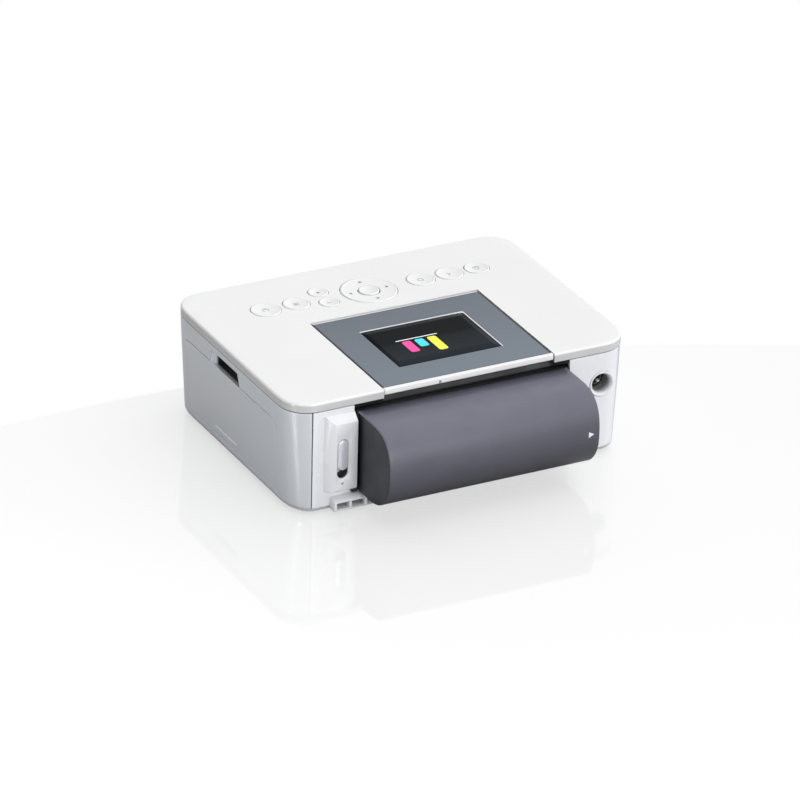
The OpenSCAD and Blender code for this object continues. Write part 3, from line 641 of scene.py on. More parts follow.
def cut_sheet(boundary, holes=(), step=2.0, edge_step=None):
    """Triangles that fill a flat outline less its holes, with a grid of points inside."""
    loops = [subdivide_loop(np.asarray(loop, float), edge_step or step) for loop in (boundary, *holes)]
    low, high = loops[0].min(0), loops[0].max(0)
    xs = np.arange(low[0] + step / 2, high[0], step)
    ys = np.arange(low[1] + step / 2, high[1], step)
    grid = np.stack(np.meshgrid(xs, ys, indexing="ij"), -1).reshape(-1, 2)
    keep = inside(grid, loops[0])
    for loop in loops[1:]:
        keep &= ~inside(grid, loop)
    for loop in loops:
        keep &= ~near_edges(grid, loop, step * 0.45)
    points = np.concatenate([*loops, grid[keep]])
    edges, start = [], 0
    for loop in loops:
        n = len(loop)
        edges += [(start + i, start + (i + 1) % n) for i in range(n)]
        start += n
    found = delaunay_2d_cdt([Vector(p) for p in points], edges, [], 0, 1e-7)
    points = np.array([tuple(v) for v in found[0]])
    faces = np.array([f for f in found[2]], int)
    middle = points[faces].mean(1)
    keep = inside(middle, loops[0])
    for loop in loops[1:]:
        keep &= ~inside(middle, loop)
    return points, faces[keep]


def circle(cx, cy, r, count=48):
    a = np.arange(count) / count * 2 * math.pi
    return np.stack([cx + r * np.cos(a), cy + r * np.sin(a)], 1)


def arc(cx, cy, r, a0, a1, count=10):
    a = np.radians(np.linspace(a0, a1, count))
    return np.stack([cx + r * np.cos(a), cy + r * np.sin(a)], 1)


def box_loop(x0, x1, y0, y1):
    return np.array([[x0, y0], [x1, y0], [x1, y1], [x0, y1]], float)


def round_box_loop(x0, x1, y0, y1, r, count=7):
    """Rectangle with round corners, counter-clockwise."""
    return np.concatenate([
        arc(x1 - r, y0 + r, r, -90, 0, count), arc(x1 - r, y1 - r, r, 0, 90, count),
        arc(x0 + r, y1 - r, r, 90, 180, count), arc(x0 + r, y0 + r, r, 180, 270, count),
    ])


def revolve(profile, centre, count=72, axis="Z", closed=False):
    """A profile of (radius, height) turned about an axis through centre. Its ends are poles on the axis, or
    meet if it is closed."""
    profile = np.asarray(profile, float)
    a = np.arange(count) / count * 2 * math.pi
    ring = np.stack([np.cos(a), np.sin(a)], 1)
    points = np.zeros((len(profile), count, 3))
    points[..., :2] = profile[:, None, :1] * ring[None]
    points[..., 2] = profile[:, None, 1]
    faces = grid_faces(len(profile), count, close_rows=closed, close_columns=True)
    if axis == "Y":
        points, faces = points[..., [0, 2, 1]], faces[:, ::-1]
    return points.reshape(-1, 3) + np.asarray(centre, float), faces


def carry(x, sections):
    """Sections in (y, z), the same for all or one at each x, carried along the width."""
    sections = np.broadcast_to(sections, (len(x), *sections.shape[-2:]))
    width = np.broadcast_to(np.asarray(x)[:, None, None], (*sections.shape[:2], 1))
    return np.concatenate([width, sections], -1).reshape(-1, 3)


def capped_faces(rows, columns):
    """Faces of a row of closed sections, with a face across each end."""
    last = (rows - 1) * columns
    faces = [tuple(f) for f in grid_faces(rows, columns, close_columns=True)]
    return [*faces, tuple(range(columns)), tuple(range(last + columns - 1, last - 1, -1))]


def level(flat, z):
    """Points in (x, y) put at height z."""
    return np.column_stack([flat, np.full(len(flat), z)])


def flat_piece(name, loop, z, wall, body, slot, holes=(), step=6.0, edge_step=50.0, **kind):
    """A level sheet at height z with a wall below it; its outline and holes are in (x, y)."""
    flat, faces = cut_sheet(loop, holes, step, edge_step)
    return thicken(make_piece(name, level(flat, z), faces, body, slot, **kind), wall)


def ribbon(points, width, closed=False):
    """A flat line of the given width along 2-D points: two edges, one each side."""
    p = np.asarray(points, float)
    ahead = np.roll(p, -1, 0) - p
    behind = p - np.roll(p, 1, 0)
    if not closed:
        ahead[-1], behind[0] = behind[-1], ahead[0]
    ahead /= np.linalg.norm(ahead, axis=1)[:, None]
    behind /= np.linalg.norm(behind, axis=1)[:, None]
    along = ahead + behind
    along /= np.linalg.norm(along, axis=1)[:, None]
    side = np.stack([-along[:, 1], along[:, 0]], 1)
    stretch = 1 / np.maximum((side * np.stack([-ahead[:, 1], ahead[:, 0]], 1)).sum(1), 0.5)
    side *= (width / 2 * stretch)[:, None]
    rails = np.stack([p - side, p + side], 1).reshape(-1, 2)
    return rails, grid_faces(len(p), 2, close_rows=closed)[:, ::-1]


def join(parts):
    """One set of points and faces from several."""
    points, faces, start = [], [], 0
    for p, f in parts:
        points.append(np.asarray(p, float))
        faces += [tuple(int(i) + start for i in face) for face in f]
        start += len(p)
    return np.concatenate(points), faces


# ---- the body's form ----


def outline_point(s):
    """Point and outward direction on the body's outline seen from above. s is the length along it from the
    middle of the rear edge, positive towards the ink door; the front half mirrors the rear half."""
    s = np.asarray(s, float)
    side = np.where(s < 0, -1.0, 1.0)
    t = np.abs(s)
    front = t > QUARTER
    u = np.where(front, HALF_TURN - t, t)
    x, y, turn = (np.interp(u, Q_LENGTH, table) for table in (Q_X, Q_Y, Q_TURN))
    flip = np.where(front, -1.0, 1.0)
    return side * x, flip * y, side * np.sin(turn), flip * np.cos(turn)


def draw_in(z):
    """How far the side walls have drawn in at height z."""
    amount = bpy.context.scene.printer_sizes.side_draw
    return amount * np.clip((DRAW_TOP - z) / DRAW_SPAN, 0, 1) ** DRAW_POWER


def wall_point(s, z, inset=0.0):
    """Point on the body's outer wall at outline length s and height z, moved in by inset. The sides draw in
    towards the base and the lowest edge is rounded."""
    x, y, nx, ny = outline_point(s)
    reach = np.clip((np.abs(x) - 76.0) / (HALF_W - 76.0), 0, 1)
    reach = reach * reach * (3 - 2 * reach)
    x = x - np.sign(x) * draw_in(z) * reach
    under = np.clip(BASE_Z + FOOT_R - z, 0, FOOT_R)
    back = FOOT_R - np.sqrt(np.maximum(FOOT_R**2 - under**2, 0)) + inset
    return np.stack([x - nx * back, y - ny * back, z + np.zeros_like(x)], -1)


def side_length(y):
    """Outline length of a point at y on the straight part of the ink door's side."""
    return QUARTER - y


def seam_length(x, front=False):
    """Outline length where the outline crosses x, on the rear or front."""
    rear = float(np.interp(abs(x), Q_X[:-1], Q_LENGTH[:-1]))
    length = HALF_TURN - rear if front else rear
    return length * (1 if x >= 0 else -1)


def half_lengths():
    """Lengths from the middle of the rear to just short of the front's, closer together round each corner."""
    quarter = np.concatenate([
        np.linspace(0, CORNER_FROM, 16)[:-1], np.linspace(CORNER_FROM, CORNER_TO, 40)[:-1],
        np.linspace(CORNER_TO, QUARTER, 14),
    ])
    return np.concatenate([quarter, HALF_TURN - quarter[-2:0:-1]])


def outline_lengths(x_from, x_to):
    """Lengths round the outline from the rear at x_from, past the ink door and the front, to x_to."""
    half = half_lengths()
    right = np.concatenate([[x_from], half[half > x_from + 0.5]])
    left = -np.concatenate([[-x_to], half[half > -x_to + 0.5]])[::-1]
    return np.concatenate([right, [FRONT_MIDDLE], left])


def full_outline():
    """Lengths all the way round the body."""
    half = half_lengths()
    return np.concatenate([half, [FRONT_MIDDLE], -half[:0:-1]])


def wall_piece(name, boundary, slot, holes=(), body=ROOT, wall=SIDE_WALL, inset=0.0, **kind):
    """A panel of the body's wall: its outline and holes are given in (s, z). Lengths past the front's middle
    run on round the far side."""
    points, faces = cut_sheet(boundary, holes, 1.8)
    s, z = points.T
    s = np.where(s > HALF_TURN, s - 2 * HALF_TURN, s)
    s = np.where(np.abs(np.abs(s) - HALF_TURN) < 1e-9, FRONT_MIDDLE, s)
    return thicken(make_piece(name, wall_point(s, z, inset), faces[:, ::-1], body, slot, **kind), wall)


def panel(name, boundary, slot, holes=(), body=ROOT, wall=SIDE_WALL, **kind):
    """A shown panel of the wall, with its edges broken."""
    piece = wall_piece(name, boundary, slot, holes, body, wall, **kind)
    return round_edges(piece, bpy.context.scene.printer_sizes.edge_break)


# ---- operators: one for each piece or group of like pieces ----


class PRINTER_OT_cover(bpy.types.Operator):
    """Top cover: a flat top with its openings and a rolled edge that carries the side band"""

    bl_idname = "printer.cover"
    bl_label = "Top cover"

    def execute(self, context):
        roll = context.scene.printer_sizes.cover_roll
        open_x0, open_x1 = SCREEN_X0 - SCREEN_GAP, SCREEN_X1 + SCREEN_GAP
        open_front = SCREEN_FRONT - 0.6
        lengths = outline_lengths(open_x1, open_x0)
        x, y, nx, ny = outline_point(lengths)
        top_loop = np.stack([x - nx * roll, y - ny * roll], 1)[::-1]
        boundary = np.concatenate([top_loop, [[open_x1, open_front], [open_x0, open_front]]])
        holes = [circle(k["x"], k["y"], k["r"] + KEY_GAP, 64) for k in KEYS if k["name"] != "centre_key"]
        flat, triangles = cut_sheet(boundary, holes, step=6.0, edge_step=50.0)
        # rolled edge: a quarter turn, then the side band straight down
        a = np.radians(np.linspace(90, 0, 9))
        inset = np.concatenate([roll - roll * np.cos(a), [0, 0]])
        height = np.concatenate([COVER_TOP - roll + roll * np.sin(a), [(COVER_TOP + BAND_Z) / 2, BAND_Z]])
        band = np.stack([
            x[:, None] - nx[:, None] * inset, y[:, None] - ny[:, None] * inset, np.tile(height, (len(x), 1)),
        ], -1).reshape(-1, 3)
        points, faces = join([(level(flat, COVER_TOP), triangles), (band, grid_faces(len(x), len(inset)))])
        # the cover_shade finish greys the side band below the rolled edge: painted shade
        piece = make_piece("cover_shell", points, faces, ROOT, "cover_white", replaces=["top_cover"],
                           finish="cover_shade")
        outward(piece, seen_from=(0, 0, FAR))
        thicken(piece, COVER_WALL)
        round_edges(piece, 0.25)
        # rib inside the cover that closes the groove below its edge; its dark colour is painted shade in the
        # groove
        rib = wall_point(lengths[:, None], np.array([[RIB_Z0, RIB_Z1]]), SIDE_WALL + 0.15).reshape(-1, 3)
        thicken(make_piece("cover_rib", rib, grid_faces(len(lengths), 2)[:, ::-1], ROOT, "cover_white",
                           finish="dark_plastic"), STRIP_WALL)
        return {"FINISHED"}


class PRINTER_OT_sides(bpy.types.Operator):
    """Side, rear and front panels, the finger notch and the dark strips of painted shade behind the seams"""

    bl_idname = "printer.sides"
    bl_label = "Body panels"

    def execute(self, context):
        z0, z1 = PANEL_Z, PANEL_TOP
        # ink door's side: the door's opening runs into the finger notch above it
        panel("side_panel_door", box_loop(seam_length(SEAM_X), seam_length(SEAM_X, front=True), z0, z1),
              "panel_silver", [door_opening()], replaces=["right_side_panel"])
        # socket's side
        t0, t1 = seam_length(-LEFT_SEAM_X), seam_length(-LEFT_SEAM_X, front=True)
        panel("side_panel_socket", box_loop(t1, t0, z0, z1), "panel_silver", replaces=["left_side_panel"])
        # rear: open at the top for the battery bay
        r0, r1 = seam_length(-LEFT_SEAM_X + SEAM_GAP), seam_length(SEAM_X - SEAM_GAP)
        rear = np.array([[r0, z0], [r1, z0], [r1, z1], [BAY_X1, z1], [BAY_X1, BAY_BOTTOM],
                         [BAY_X0, BAY_BOTTOM], [BAY_X0, z1], [r0, z1]])
        slots = [box_loop(x - SLOT_W, x, SLOT_Z0, SLOT_Z1) for x in slot_edges()]
        openings = [circle(JACK_X, JACK_Z, JACK_R + 0.15), box_loop(*LATCH_OPENING), *slots]
        panel("rear_wall", rear, "panel_pale", openings, replaces=["rear_panel"])
        # front
        f0, f1 = seam_length(SEAM_X - SEAM_GAP, front=True), seam_length(-LEFT_SEAM_X + SEAM_GAP, front=True)
        holes = [front_loop(-FLAP_X - DOOR_GAP, FLAP_X + DOOR_GAP, FLAP_Z0, FLAP_Z1 + DOOR_GAP),
                 front_loop(*CARD_OPENING), front_loop(*USB_OPENING)]
        panel("front_wall", box_loop(f0, 2 * HALF_TURN + f1, z0, z1), "panel_pale", holes,
              replaces=["front_panel"])
        # dark strips of painted shade behind the upright seams
        door_seam, socket_seam = SEAM_X - SEAM_GAP / 2, -LEFT_SEAM_X + SEAM_GAP / 2
        seams = {"rear": seam_length(door_seam), "front": seam_length(door_seam, front=True),
                 "socket": seam_length(socket_seam), "socket_front": seam_length(socket_seam, front=True)}
        for name, s in seams.items():
            wall_piece("seam_shade_strip_" + name, box_loop(s - STRIP_HALF, s + STRIP_HALF, z0 + 0.2, z1 - 0.2),
                       "panel_pale", wall=STRIP_WALL, inset=SIDE_WALL + 0.1, finish="dark_plastic")
        self.notch_pocket()
        return {"FINISHED"}

    def notch_pocket(self):
        """The finger notch: a depth at each place, the lesser of what its roof and its ends allow. The roof
        slants in before it drops away, and the front end is a long ramp."""
        deep, rim = 5.4, 0.25
        ramp, end = NOTCH_FRONT + 4.0, NOTCH_REAR - 0.7
        y = np.concatenate([np.linspace(NOTCH_FRONT - 0.4, ramp, 14), np.linspace(ramp + 0.5, end, 30),
                            [NOTCH_REAR - 0.1, NOTCH_REAR + 0.4]])
        z = np.array([NOTCH_TOP + rim, NOTCH_TOP - 0.4, NOTCH_TOP - 1.0, NOTCH_TOP - 1.6, NOTCH_TOP - 1.8,
                      47.0, 45.5, 44.5, DOOR_TOP + 0.05])
        from_roof = np.interp(-z, [-NOTCH_TOP - rim, -NOTCH_TOP + 1.6, -NOTCH_TOP + 1.8], [0.15, 1.8, deep])
        from_ends = np.interp(y, [NOTCH_FRONT - 0.4, ramp, ramp + 0.5, end, NOTCH_REAR + 0.4],
                              [0.1, 1.7, deep, deep, 0.2])
        depth = np.minimum(from_roof[None], from_ends[:, None])
        depth = np.concatenate([depth, np.minimum(depth[:, -1:], 2.3)], 1)
        yy, zz = np.meshgrid(y, np.append(z, DOOR_TOP), indexing="ij")
        points = np.stack([HALF_W - draw_in(zz) - depth, yy, zz], -1).reshape(-1, 3)
        piece = make_piece("notch_pocket", points, grid_faces(*depth.shape), ROOT, "panel_silver",
                           finish="notch_shade")
        outward(piece, seen_from=(HALF_W + 20, 0, 46))
        thicken(piece, 0.5)
        round_edges(piece, 0.12)


def door_opening():
    """The door's opening, with the finger notch's four corners put into its upper edge."""
    top = DOOR_TOP + DOOR_GAP
    notch = [[side_length(NOTCH_FRONT), top], [side_length(NOTCH_FRONT + 1.5), NOTCH_TOP],
             [side_length(NOTCH_REAR - 2.2), NOTCH_TOP], [side_length(NOTCH_REAR), top]]
    door = door_loop(-DOOR_GAP, -SIDE_GAP)
    return np.concatenate([door[:2], notch, door[2:]])


def slot_edges():
    """Right-hand edges of the rear slot's windows, in pairs."""
    return [SLOT_X1 - k * (SLOT_W + SLOT_WEB) for k in range(2 * SLOT_PAIRS)]


def front_loop(x0, x1, z0, z1):
    """A rectangle on the front wall, in outline lengths that run on past the front's middle."""
    return box_loop(HALF_TURN - x1, HALF_TURN - x0, z0, z1)


def door_loop(shrink, at_sides=0.0):
    """The ink door's outline in (s, z), shrunk by so much: square but for its round upper rear corner."""
    s_front, s_rear = side_length(DOOR_FRONT) - at_sides, side_length(DOOR_REAR) + at_sides
    z0, z1 = DOOR_FOOT + at_sides, DOOR_TOP - shrink
    r = DOOR_CORNER - shrink
    corner = arc(s_rear + r, z1 - r, r, 90, 180, 12)
    return np.concatenate([[[s_front, z0], [s_front, z1]], corner, [[s_rear, z0]]])


class PRINTER_OT_base(bpy.types.Operator):
    """Base plate with its rounded lower edge, feet and screws"""

    bl_idname = "printer.base"
    bl_label = "Base"

    def execute(self, context):
        s = full_outline()
        # lower edge: part of a quarter turn, stretched to meet the panels
        turn = 1 - np.cos(np.radians(np.linspace(70, 20, 7)))
        z = np.concatenate([[PANEL_Z - 0.05], BASE_Z + (PANEL_Z - BASE_Z) * turn / turn[0]])
        z = np.clip(z, BASE_Z + 0.02, PANEL_Z)
        edge = wall_point(s[:, None], z[None])
        starts = AIR_SLOT_X + AIR_SLOT_PITCH * np.arange(AIR_SLOTS)
        air_slots = [box_loop(x, x + AIR_SLOT_W, AIR_SLOT_Y0, AIR_SLOT_Y1) for x in starts]
        screws = [circle(x, y, SCREW_R, 24) for x in (-SCREW_X, SCREW_X) for y in SCREW_YS]
        flat, triangles = cut_sheet(edge[:, -1, :2], air_slots + screws, step=8.0, edge_step=60.0)
        points, faces = join([(edge.reshape(-1, 3), grid_faces(len(s), len(z), close_rows=True)),
                              (level(flat, z[-1]), triangles[:, ::-1])])
        piece = make_piece("base_pan", points, faces, ROOT, "panel_silver", replaces=["base_plate"])
        thicken(away_from(piece, (0, 0, 40)), BASE_WALL)
        finish_node("feet", "foot_rubber", 0.3)
        finish_node("case_screws", "bright_steel", 0.0)
        # dark strip behind the rear slot
        wall_piece("slot_shadow", box_loop(SLOT_X1 - 128, SLOT_X1 + 4, PANEL_Z, 8.3), "dark_plastic",
                   wall=STRIP_WALL, inset=SIDE_WALL + 2.6)
        return {"FINISHED"}


class PRINTER_OT_door(bpy.types.Operator):
    """Ink door with its raised bar and arrow"""

    bl_idname = "printer.door"
    bl_label = "Ink door"

    def execute(self, context):
        panel("door_skin", door_loop(0.0), "panel_silver", body="door", wall=DOOR_WALL,
              replaces=["ink_door"])
        self.catch()
        self.bar()
        self.arrow()
        finish_node("ink_door_pins", "bright_steel", 0.0)
        return {"FINISHED"}

    def catch(self):
        """Catch inside the door's upper edge: a block that narrows upwards."""
        foot, top, y0, y1, x1 = 41.0, DOOR_TOP - 0.4, -12, -6, 87.4
        foot_x, top_x = 84.0, 84.6
        points = [[x, y, z] for x0, z in ((foot_x, foot), (top_x, top))
                  for x, y in ((x0, y0), (x1, y0), (x1, y1), (x0, y1))]
        faces = [(0, 3, 2, 1), (4, 5, 6, 7), (0, 1, 5, 4), (1, 2, 6, 5), (2, 3, 7, 6), (3, 0, 4, 7)]
        round_edges(make_piece("door_catch", points, faces, "door", "panel_silver"), 0.3)

    def bar(self):
        """Raised bar near the lower edge: a low lens section with tapered ends."""
        front, length, height, width, rise = -19.5, 23.0, 10.1, 1.8, 0.4
        shape = (40, 9)
        u, v = np.meshgrid(*(np.linspace(0, 1, n) for n in shape), indexing="ij")
        ends = np.sin(np.clip(np.minimum(u, 1 - u) / 0.04, 0, 1) * math.pi / 2)
        z = height + (v - 0.5) * width * np.maximum(ends, 0.05)
        lift = rise * np.sin(v * math.pi) * ends
        points = wall_point(side_length(front + length * u), z, -lift - 0.01).reshape(-1, 3)
        thicken(make_piece("door_bar", points, grid_faces(*shape)[:, ::-1], "door", "panel_silver",
                           finish="mark_pale"), 0.3)

    def arrow(self):
        """Small arrow below the notch, a hair proud of the door."""
        middle, half, tip, head = -4.0, 2.5, 38.2, 40.0
        corners = [[side_length(middle), tip], [side_length(middle + half), head],
                   [side_length(middle - half), head]]
        points, faces = cut_sheet(corners, [], 0.8)
        placed = wall_point(points[:, 0], points[:, 1], -0.05)
        piece = make_piece("door_arrow", placed, faces[:, ::-1], "door", "panel_silver", finish="mark_pale")
        thicken(piece, 0.12)


class PRINTER_OT_front(bpy.types.Operator):
    """Paper flap, card reader and USB socket on the front"""

    bl_idname = "printer.front"
    bl_label = "Front fittings"

    def execute(self, context):
        finish_node("paper_flap", "panel_pale", 0.35)
        finish_node("paper_flap_pins", "bright_steel", 0.0)
        finish_node("card_reader", "socket_black", 0.15)
        finish_node("usb_socket", "plated_metal", 0.08)
        return {"FINISHED"}


def key_list():
    """Each key's node, body, centre and radius, from the frame. The node's flange is 0.55 wide."""
    keys = []
    for name in ("power", "menu", "zoom_in", "zoom_out", "ring", "centre", "edit", "back", "print"):
        low, high = node_box(name + "_key")
        keys.append({
            "name": name + "_key", "body": "key_" + name, "x": (low[0] + high[0]) / 2,
            "y": (low[1] + high[1]) / 2 - BODY_Y, "r": (high[0] - low[0]) / 2 - 0.55, "top": high[2],
            "foot": low[2],
        })
    return keys


KEYS = key_list()


def key_named(name):
    return next(k for k in KEYS if k["name"] == name)


def rolled_rim(r, top, roll, end):
    """A key's rim in (radius, height): a circle's arc from its outer wall over to end, in degrees."""
    turn = np.radians(np.linspace(5, end, 12))
    return np.column_stack([r - roll + roll * np.cos(turn), top - roll + roll * np.sin(turn)])


def key_flange(r, foot, inner, lift=0.0):
    """A key's flange and the wall above it, from the radius inner, as a profile."""
    return [[inner, foot + lift], [r + KEY_FLANGE, foot + lift], [r + KEY_FLANGE, foot + FLANGE_TALL],
            [r, foot + FLANGE_TALL], [r, foot + KEY_SHOULDER]]


class PRINTER_OT_keys(bpy.types.Operator):
    """Round keys: a raised rolled rim round a shallow dish, with a flange under the cover"""

    bl_idname = "printer.keys"
    bl_label = "Keys"

    def execute(self, context):
        for key in KEYS:
            if key["name"] == "ring_key":
                self.ring(key, key_named("centre_key")["r"] + 0.4)
            else:
                self.cap(key)
        self.marks()
        self.ring_marks()
        return {"FINISHED"}

    def cap(self, key):
        """A rolled rim that falls to a dish; the dish is a sphere's cap."""
        rim = rolled_rim(key["r"], key["top"], 0.6, 115)
        inner, low = rim[-1]
        across = np.linspace(1, 0, 14)[1:]
        dish = low - bpy.context.scene.printer_sizes.key_dish * (1 - across**2)
        profile = np.concatenate([
            key_flange(key["r"], key["foot"], 0.001), rim, np.column_stack([inner * across + 0.001, dish]),
        ])
        points, faces = revolve(profile, (key["x"], key["y"], 0))
        outward(make_piece(key["name"].replace("_key", "_cap"), points, faces, key["body"], "key_white",
                           replaces=[key["name"]]))

    def ring(self, key, hole):
        """A rolled rim, a face that sinks by a quarter wave towards its hole, and a step inside it."""
        r, foot = key["r"], key["foot"]
        rim = rolled_rim(r, key["top"], 0.8, 120)
        edge, low = rim[-1]
        across = np.linspace(0, 1, 14)[1:]
        sink = 0.3 * np.sin(across * math.pi / 2)
        face = np.column_stack([edge - (edge - hole - 0.4) * across, low - sink])
        profile = np.concatenate([
            key_flange(r, foot, hole + 0.9, 0.1), rim, face,
            [[hole + 0.1, low - 0.45], [hole, low - 0.8], [hole, foot + 1.7], [hole + 0.9, foot + 1.7]],
        ])
        points, faces = revolve(profile, (key["x"], key["y"], 0), 96, closed=True)
        outward(make_piece("ring_cap", points, faces, key["body"], "key_white", replaces=["ring_key"]))

    def marks(self):
        """Plain grey marks on the keys, lines laid in the dish: each is its points and whether it closes."""
        across = [[-1.3, 0], [1.3, 0]]
        width = 0.34
        shapes = {
            "power_key": [(arc(0, 0, 1.5, -235, 55, 24), False), ([[0, -0.2], [0, -2.0]], False)],
            "menu_key": [([[-1.5, dy], [1.5, dy]], False) for dy in (-1.0, 0.0, 1.0)],
            "zoom_in_key": [(across, False), ([[0, -1.3], [0, 1.3]], False)],
            "zoom_out_key": [(across, False)],
            "edit_key": [(circle(0, 0, 1.3, 20), True)],
            "back_key": [([[1.2, -1.3], [-0.4, 0], [1.2, 1.3]], False)],
            "print_key": [(circle(0, 0, 1.1, 20), True), (arc(0, 0, 2.0, 200, 340, 16), False)],
        }
        for name, lines in shapes.items():
            key = key_named(name)
            parts = []
            for line, closed in lines:
                rails, faces = ribbon(line, width, closed)
                radius = np.linalg.norm(rails, axis=1) / (key["r"] - 0.85)
                z = key["top"] - 0.036 - bpy.context.scene.printer_sizes.key_dish * (1 - radius**2)
                parts.append((np.column_stack([rails + [key["x"], key["y"]], z]), faces))
            self.mark(name.replace("_key", "_mark"), parts, key)

    def ring_marks(self):
        """Four arrows on the ring, each a quarter turn from the last."""
        ring = key_named("ring_key")
        half, near, far = 1.1, 9.0, 10.6
        parts = []
        for turn in range(4):
            c, s = math.cos(turn * math.pi / 2), math.sin(turn * math.pi / 2)
            arrow = np.array([[-half, near], [half, near], [0, far]]) @ np.array([[c, s], [-s, c]])
            parts.append((level(arrow + [ring["x"], ring["y"]], ring["top"] - 0.22), [(0, 1, 2)]))
        self.mark("ring_marks", parts, ring)

    def mark(self, name, parts, key):
        piece = make_piece(name, *join(parts), key["body"], "key_white", finish="mark_grey", smooth=False)
        thicken(upward(piece), 0.05)


class PRINTER_OT_screen(bpy.types.Operator):
    """Tilting screen: white housing, slate frame with a bright front edge, glass and a plain test picture"""

    bl_idname = "printer.screen"
    bl_label = "Screen"

    def execute(self, context):
        self.housing()
        self.slate()
        self.trim()
        self.glass()
        finish_node("lcd_tray", "dark_plastic", 0.2)
        finish_node("lcd_hinge_pins", "bright_steel", 0.0)
        finish_node("lcd_panel", "dark_plastic", 0.0)
        return {"FINISHED"}

    def housing(self):
        """Underside and rear edge: a profile in (y, z) carried along the width, rounded at both ends."""
        top, r, low_r, foot = SCREEN_TOP, 0.55, 1.0, 54.2
        seat, lip = top - 1.1, SCREEN_REAR - REAR_LIP
        profile = np.concatenate([
            [[lip, seat], [lip, top]], arc(SCREEN_REAR - r, top - r, r, 90, 0, 8),
            arc(SCREEN_REAR - low_r, foot + low_r, low_r, 0, -90, 6),
            [[54.0, 50.8], [0.0, 50.6], [-8.5, 51.6], [SCREEN_FRONT, top - 2.4], [SCREEN_FRONT, seat]],
        ])
        ends = np.array([0.0, 0.12, 0.5])
        between = np.linspace(SCREEN_X0 + 3, SCREEN_X1 - 3, 40)
        x = np.concatenate([SCREEN_X0 + ends, between, SCREEN_X1 - ends[::-1]])
        pull = np.zeros(len(x))
        pull[[0, -1]] = 0.4
        pull[[1, -2]] = 0.14
        towards = np.array([20.0, 54.5]) - profile
        towards /= np.linalg.norm(towards, axis=1)[:, None]
        points = carry(x, profile + towards * pull[:, None, None])
        piece = make_piece("screen_housing", points, capped_faces(len(x), len(profile)), "lcd_unit",
                           "cover_white", replaces=["lcd_housing"])
        round_edges(outward(piece), 0.15)
        # small moulding notch in the rear edge, drawn as a grey plate of painted shade
        x0, x1, y, z0, z1 = 11.7, 12.9, SCREEN_REAR + 0.02, top - 2.6, top - 1.2
        notch = [[x0, y, z0], [x1, y, z0], [x1, y, z1], [x0, y, z1]]
        thicken(make_piece("housing_notch_shade", notch, [(0, 3, 2, 1)], "lcd_unit", "cover_white",
                           finish="mark_grey", smooth=False), 0.1)

    def slate(self):
        """Slate frame round the window, and dark sheets of painted shade in the gaps round it."""
        x0, x1, y0, y1 = FRAME_EDGES
        piece = flat_piece("screen_frame", box_loop(*FRAME_EDGES), SCREEN_TOP, 1.1, "lcd_unit", "bezel_metal",
                           [window_loop(0.0)], step=4.0, replaces=["lcd_bezel"])
        round_edges(piece, 0.22)
        rear = SCREEN_REAR - REAR_LIP - 0.02
        gaps = {"latch": (x1 - 0.1, SCREEN_X1 - 0.1, y0 - 0.5, rear),
                "socket": (SCREEN_X0 + 0.1, x0 + 0.1, y0 - 0.5, rear),
                "rear": (x0, x1, y1 - 0.1, rear), "front": (x0, x1, y0 - 0.4, y0 + 0.05)}
        for side, box in gaps.items():
            flat_piece("gap_shade_" + side, box_loop(*box), SCREEN_TOP - 0.12, 0.5, "lcd_unit", "bezel_metal",
                       finish="dark_plastic")

    def trim(self):
        """Bright strip along the front edge, its section carried along the width; the window's pale liner."""
        x0, x1, y0, _ = FRAME_EDGES
        y0, front, top = y0 - 0.35, SCREEN_FRONT + 0.15, SCREEN_TOP - 0.02
        section = np.array([[y0, top], [SCREEN_FRONT + 0.8, top], [front, SCREEN_TOP - 1.0],
                            [front, SCREEN_TOP - 1.9], [y0, SCREEN_TOP - 1.9]])
        points = carry(np.linspace(x0, x1, 30), section)
        piece = make_piece("screen_trim", points, capped_faces(30, len(section)), "lcd_unit", "bezel_metal",
                           finish="bright_trim")
        round_edges(outward(piece), 0.12)
        outer, inner = window_loop(0.0), window_loop(0.5, 0.6)
        points = np.concatenate([level(outer, SCREEN_TOP - 0.12), level(inner, SCREEN_TOP - 0.75)])
        piece = make_piece("window_liner", points, grid_faces(2, len(outer), close_columns=True), "lcd_unit",
                           "bezel_metal", finish="bright_trim")
        thicken(upward(piece), 0.2)

    def glass(self):
        """The glass, and on it a plain test picture of the builder's own: three ink bars on a base line."""
        z = SCREEN_TOP - 0.7
        flat_piece("screen_glass", window_loop(0.3, 0.6), z, 0.4, "lcd_unit", "screen_dark",
                   replaces=["lcd_window"])
        bars = {"cyan": (-0.3, 4.3, 22.0, 30.0), "yellow": (-6.9, -2.3, 22.0, 36.5),
                "magenta": (6.3, 10.9, 22.0, 33.5), "white": (-8.9, 12.9, 20.0, 20.7)}
        for name, (x0, x1, y0, y1) in bars.items():
            r = min(1.2, (y1 - y0) / 2 - 0.01)
            flat_piece("picture_" + name, round_box_loop(x0, x1, y0, y1, r), z + 0.02, 0.02, "lcd_unit",
                       "screen_dark", step=3.0, edge_step=3.0, finish="tile_" + name, smooth=False)


def window_loop(inset, r=0.8):
    """The window's edge with round corners, moved in by inset."""
    move = inset - 0.1
    return round_box_loop(WINDOW_LOW[0] + move, WINDOW_HIGH[0] - move, WINDOW_LOW[1] - BODY_Y + move,
                          WINDOW_HIGH[1] - BODY_Y - move, r)


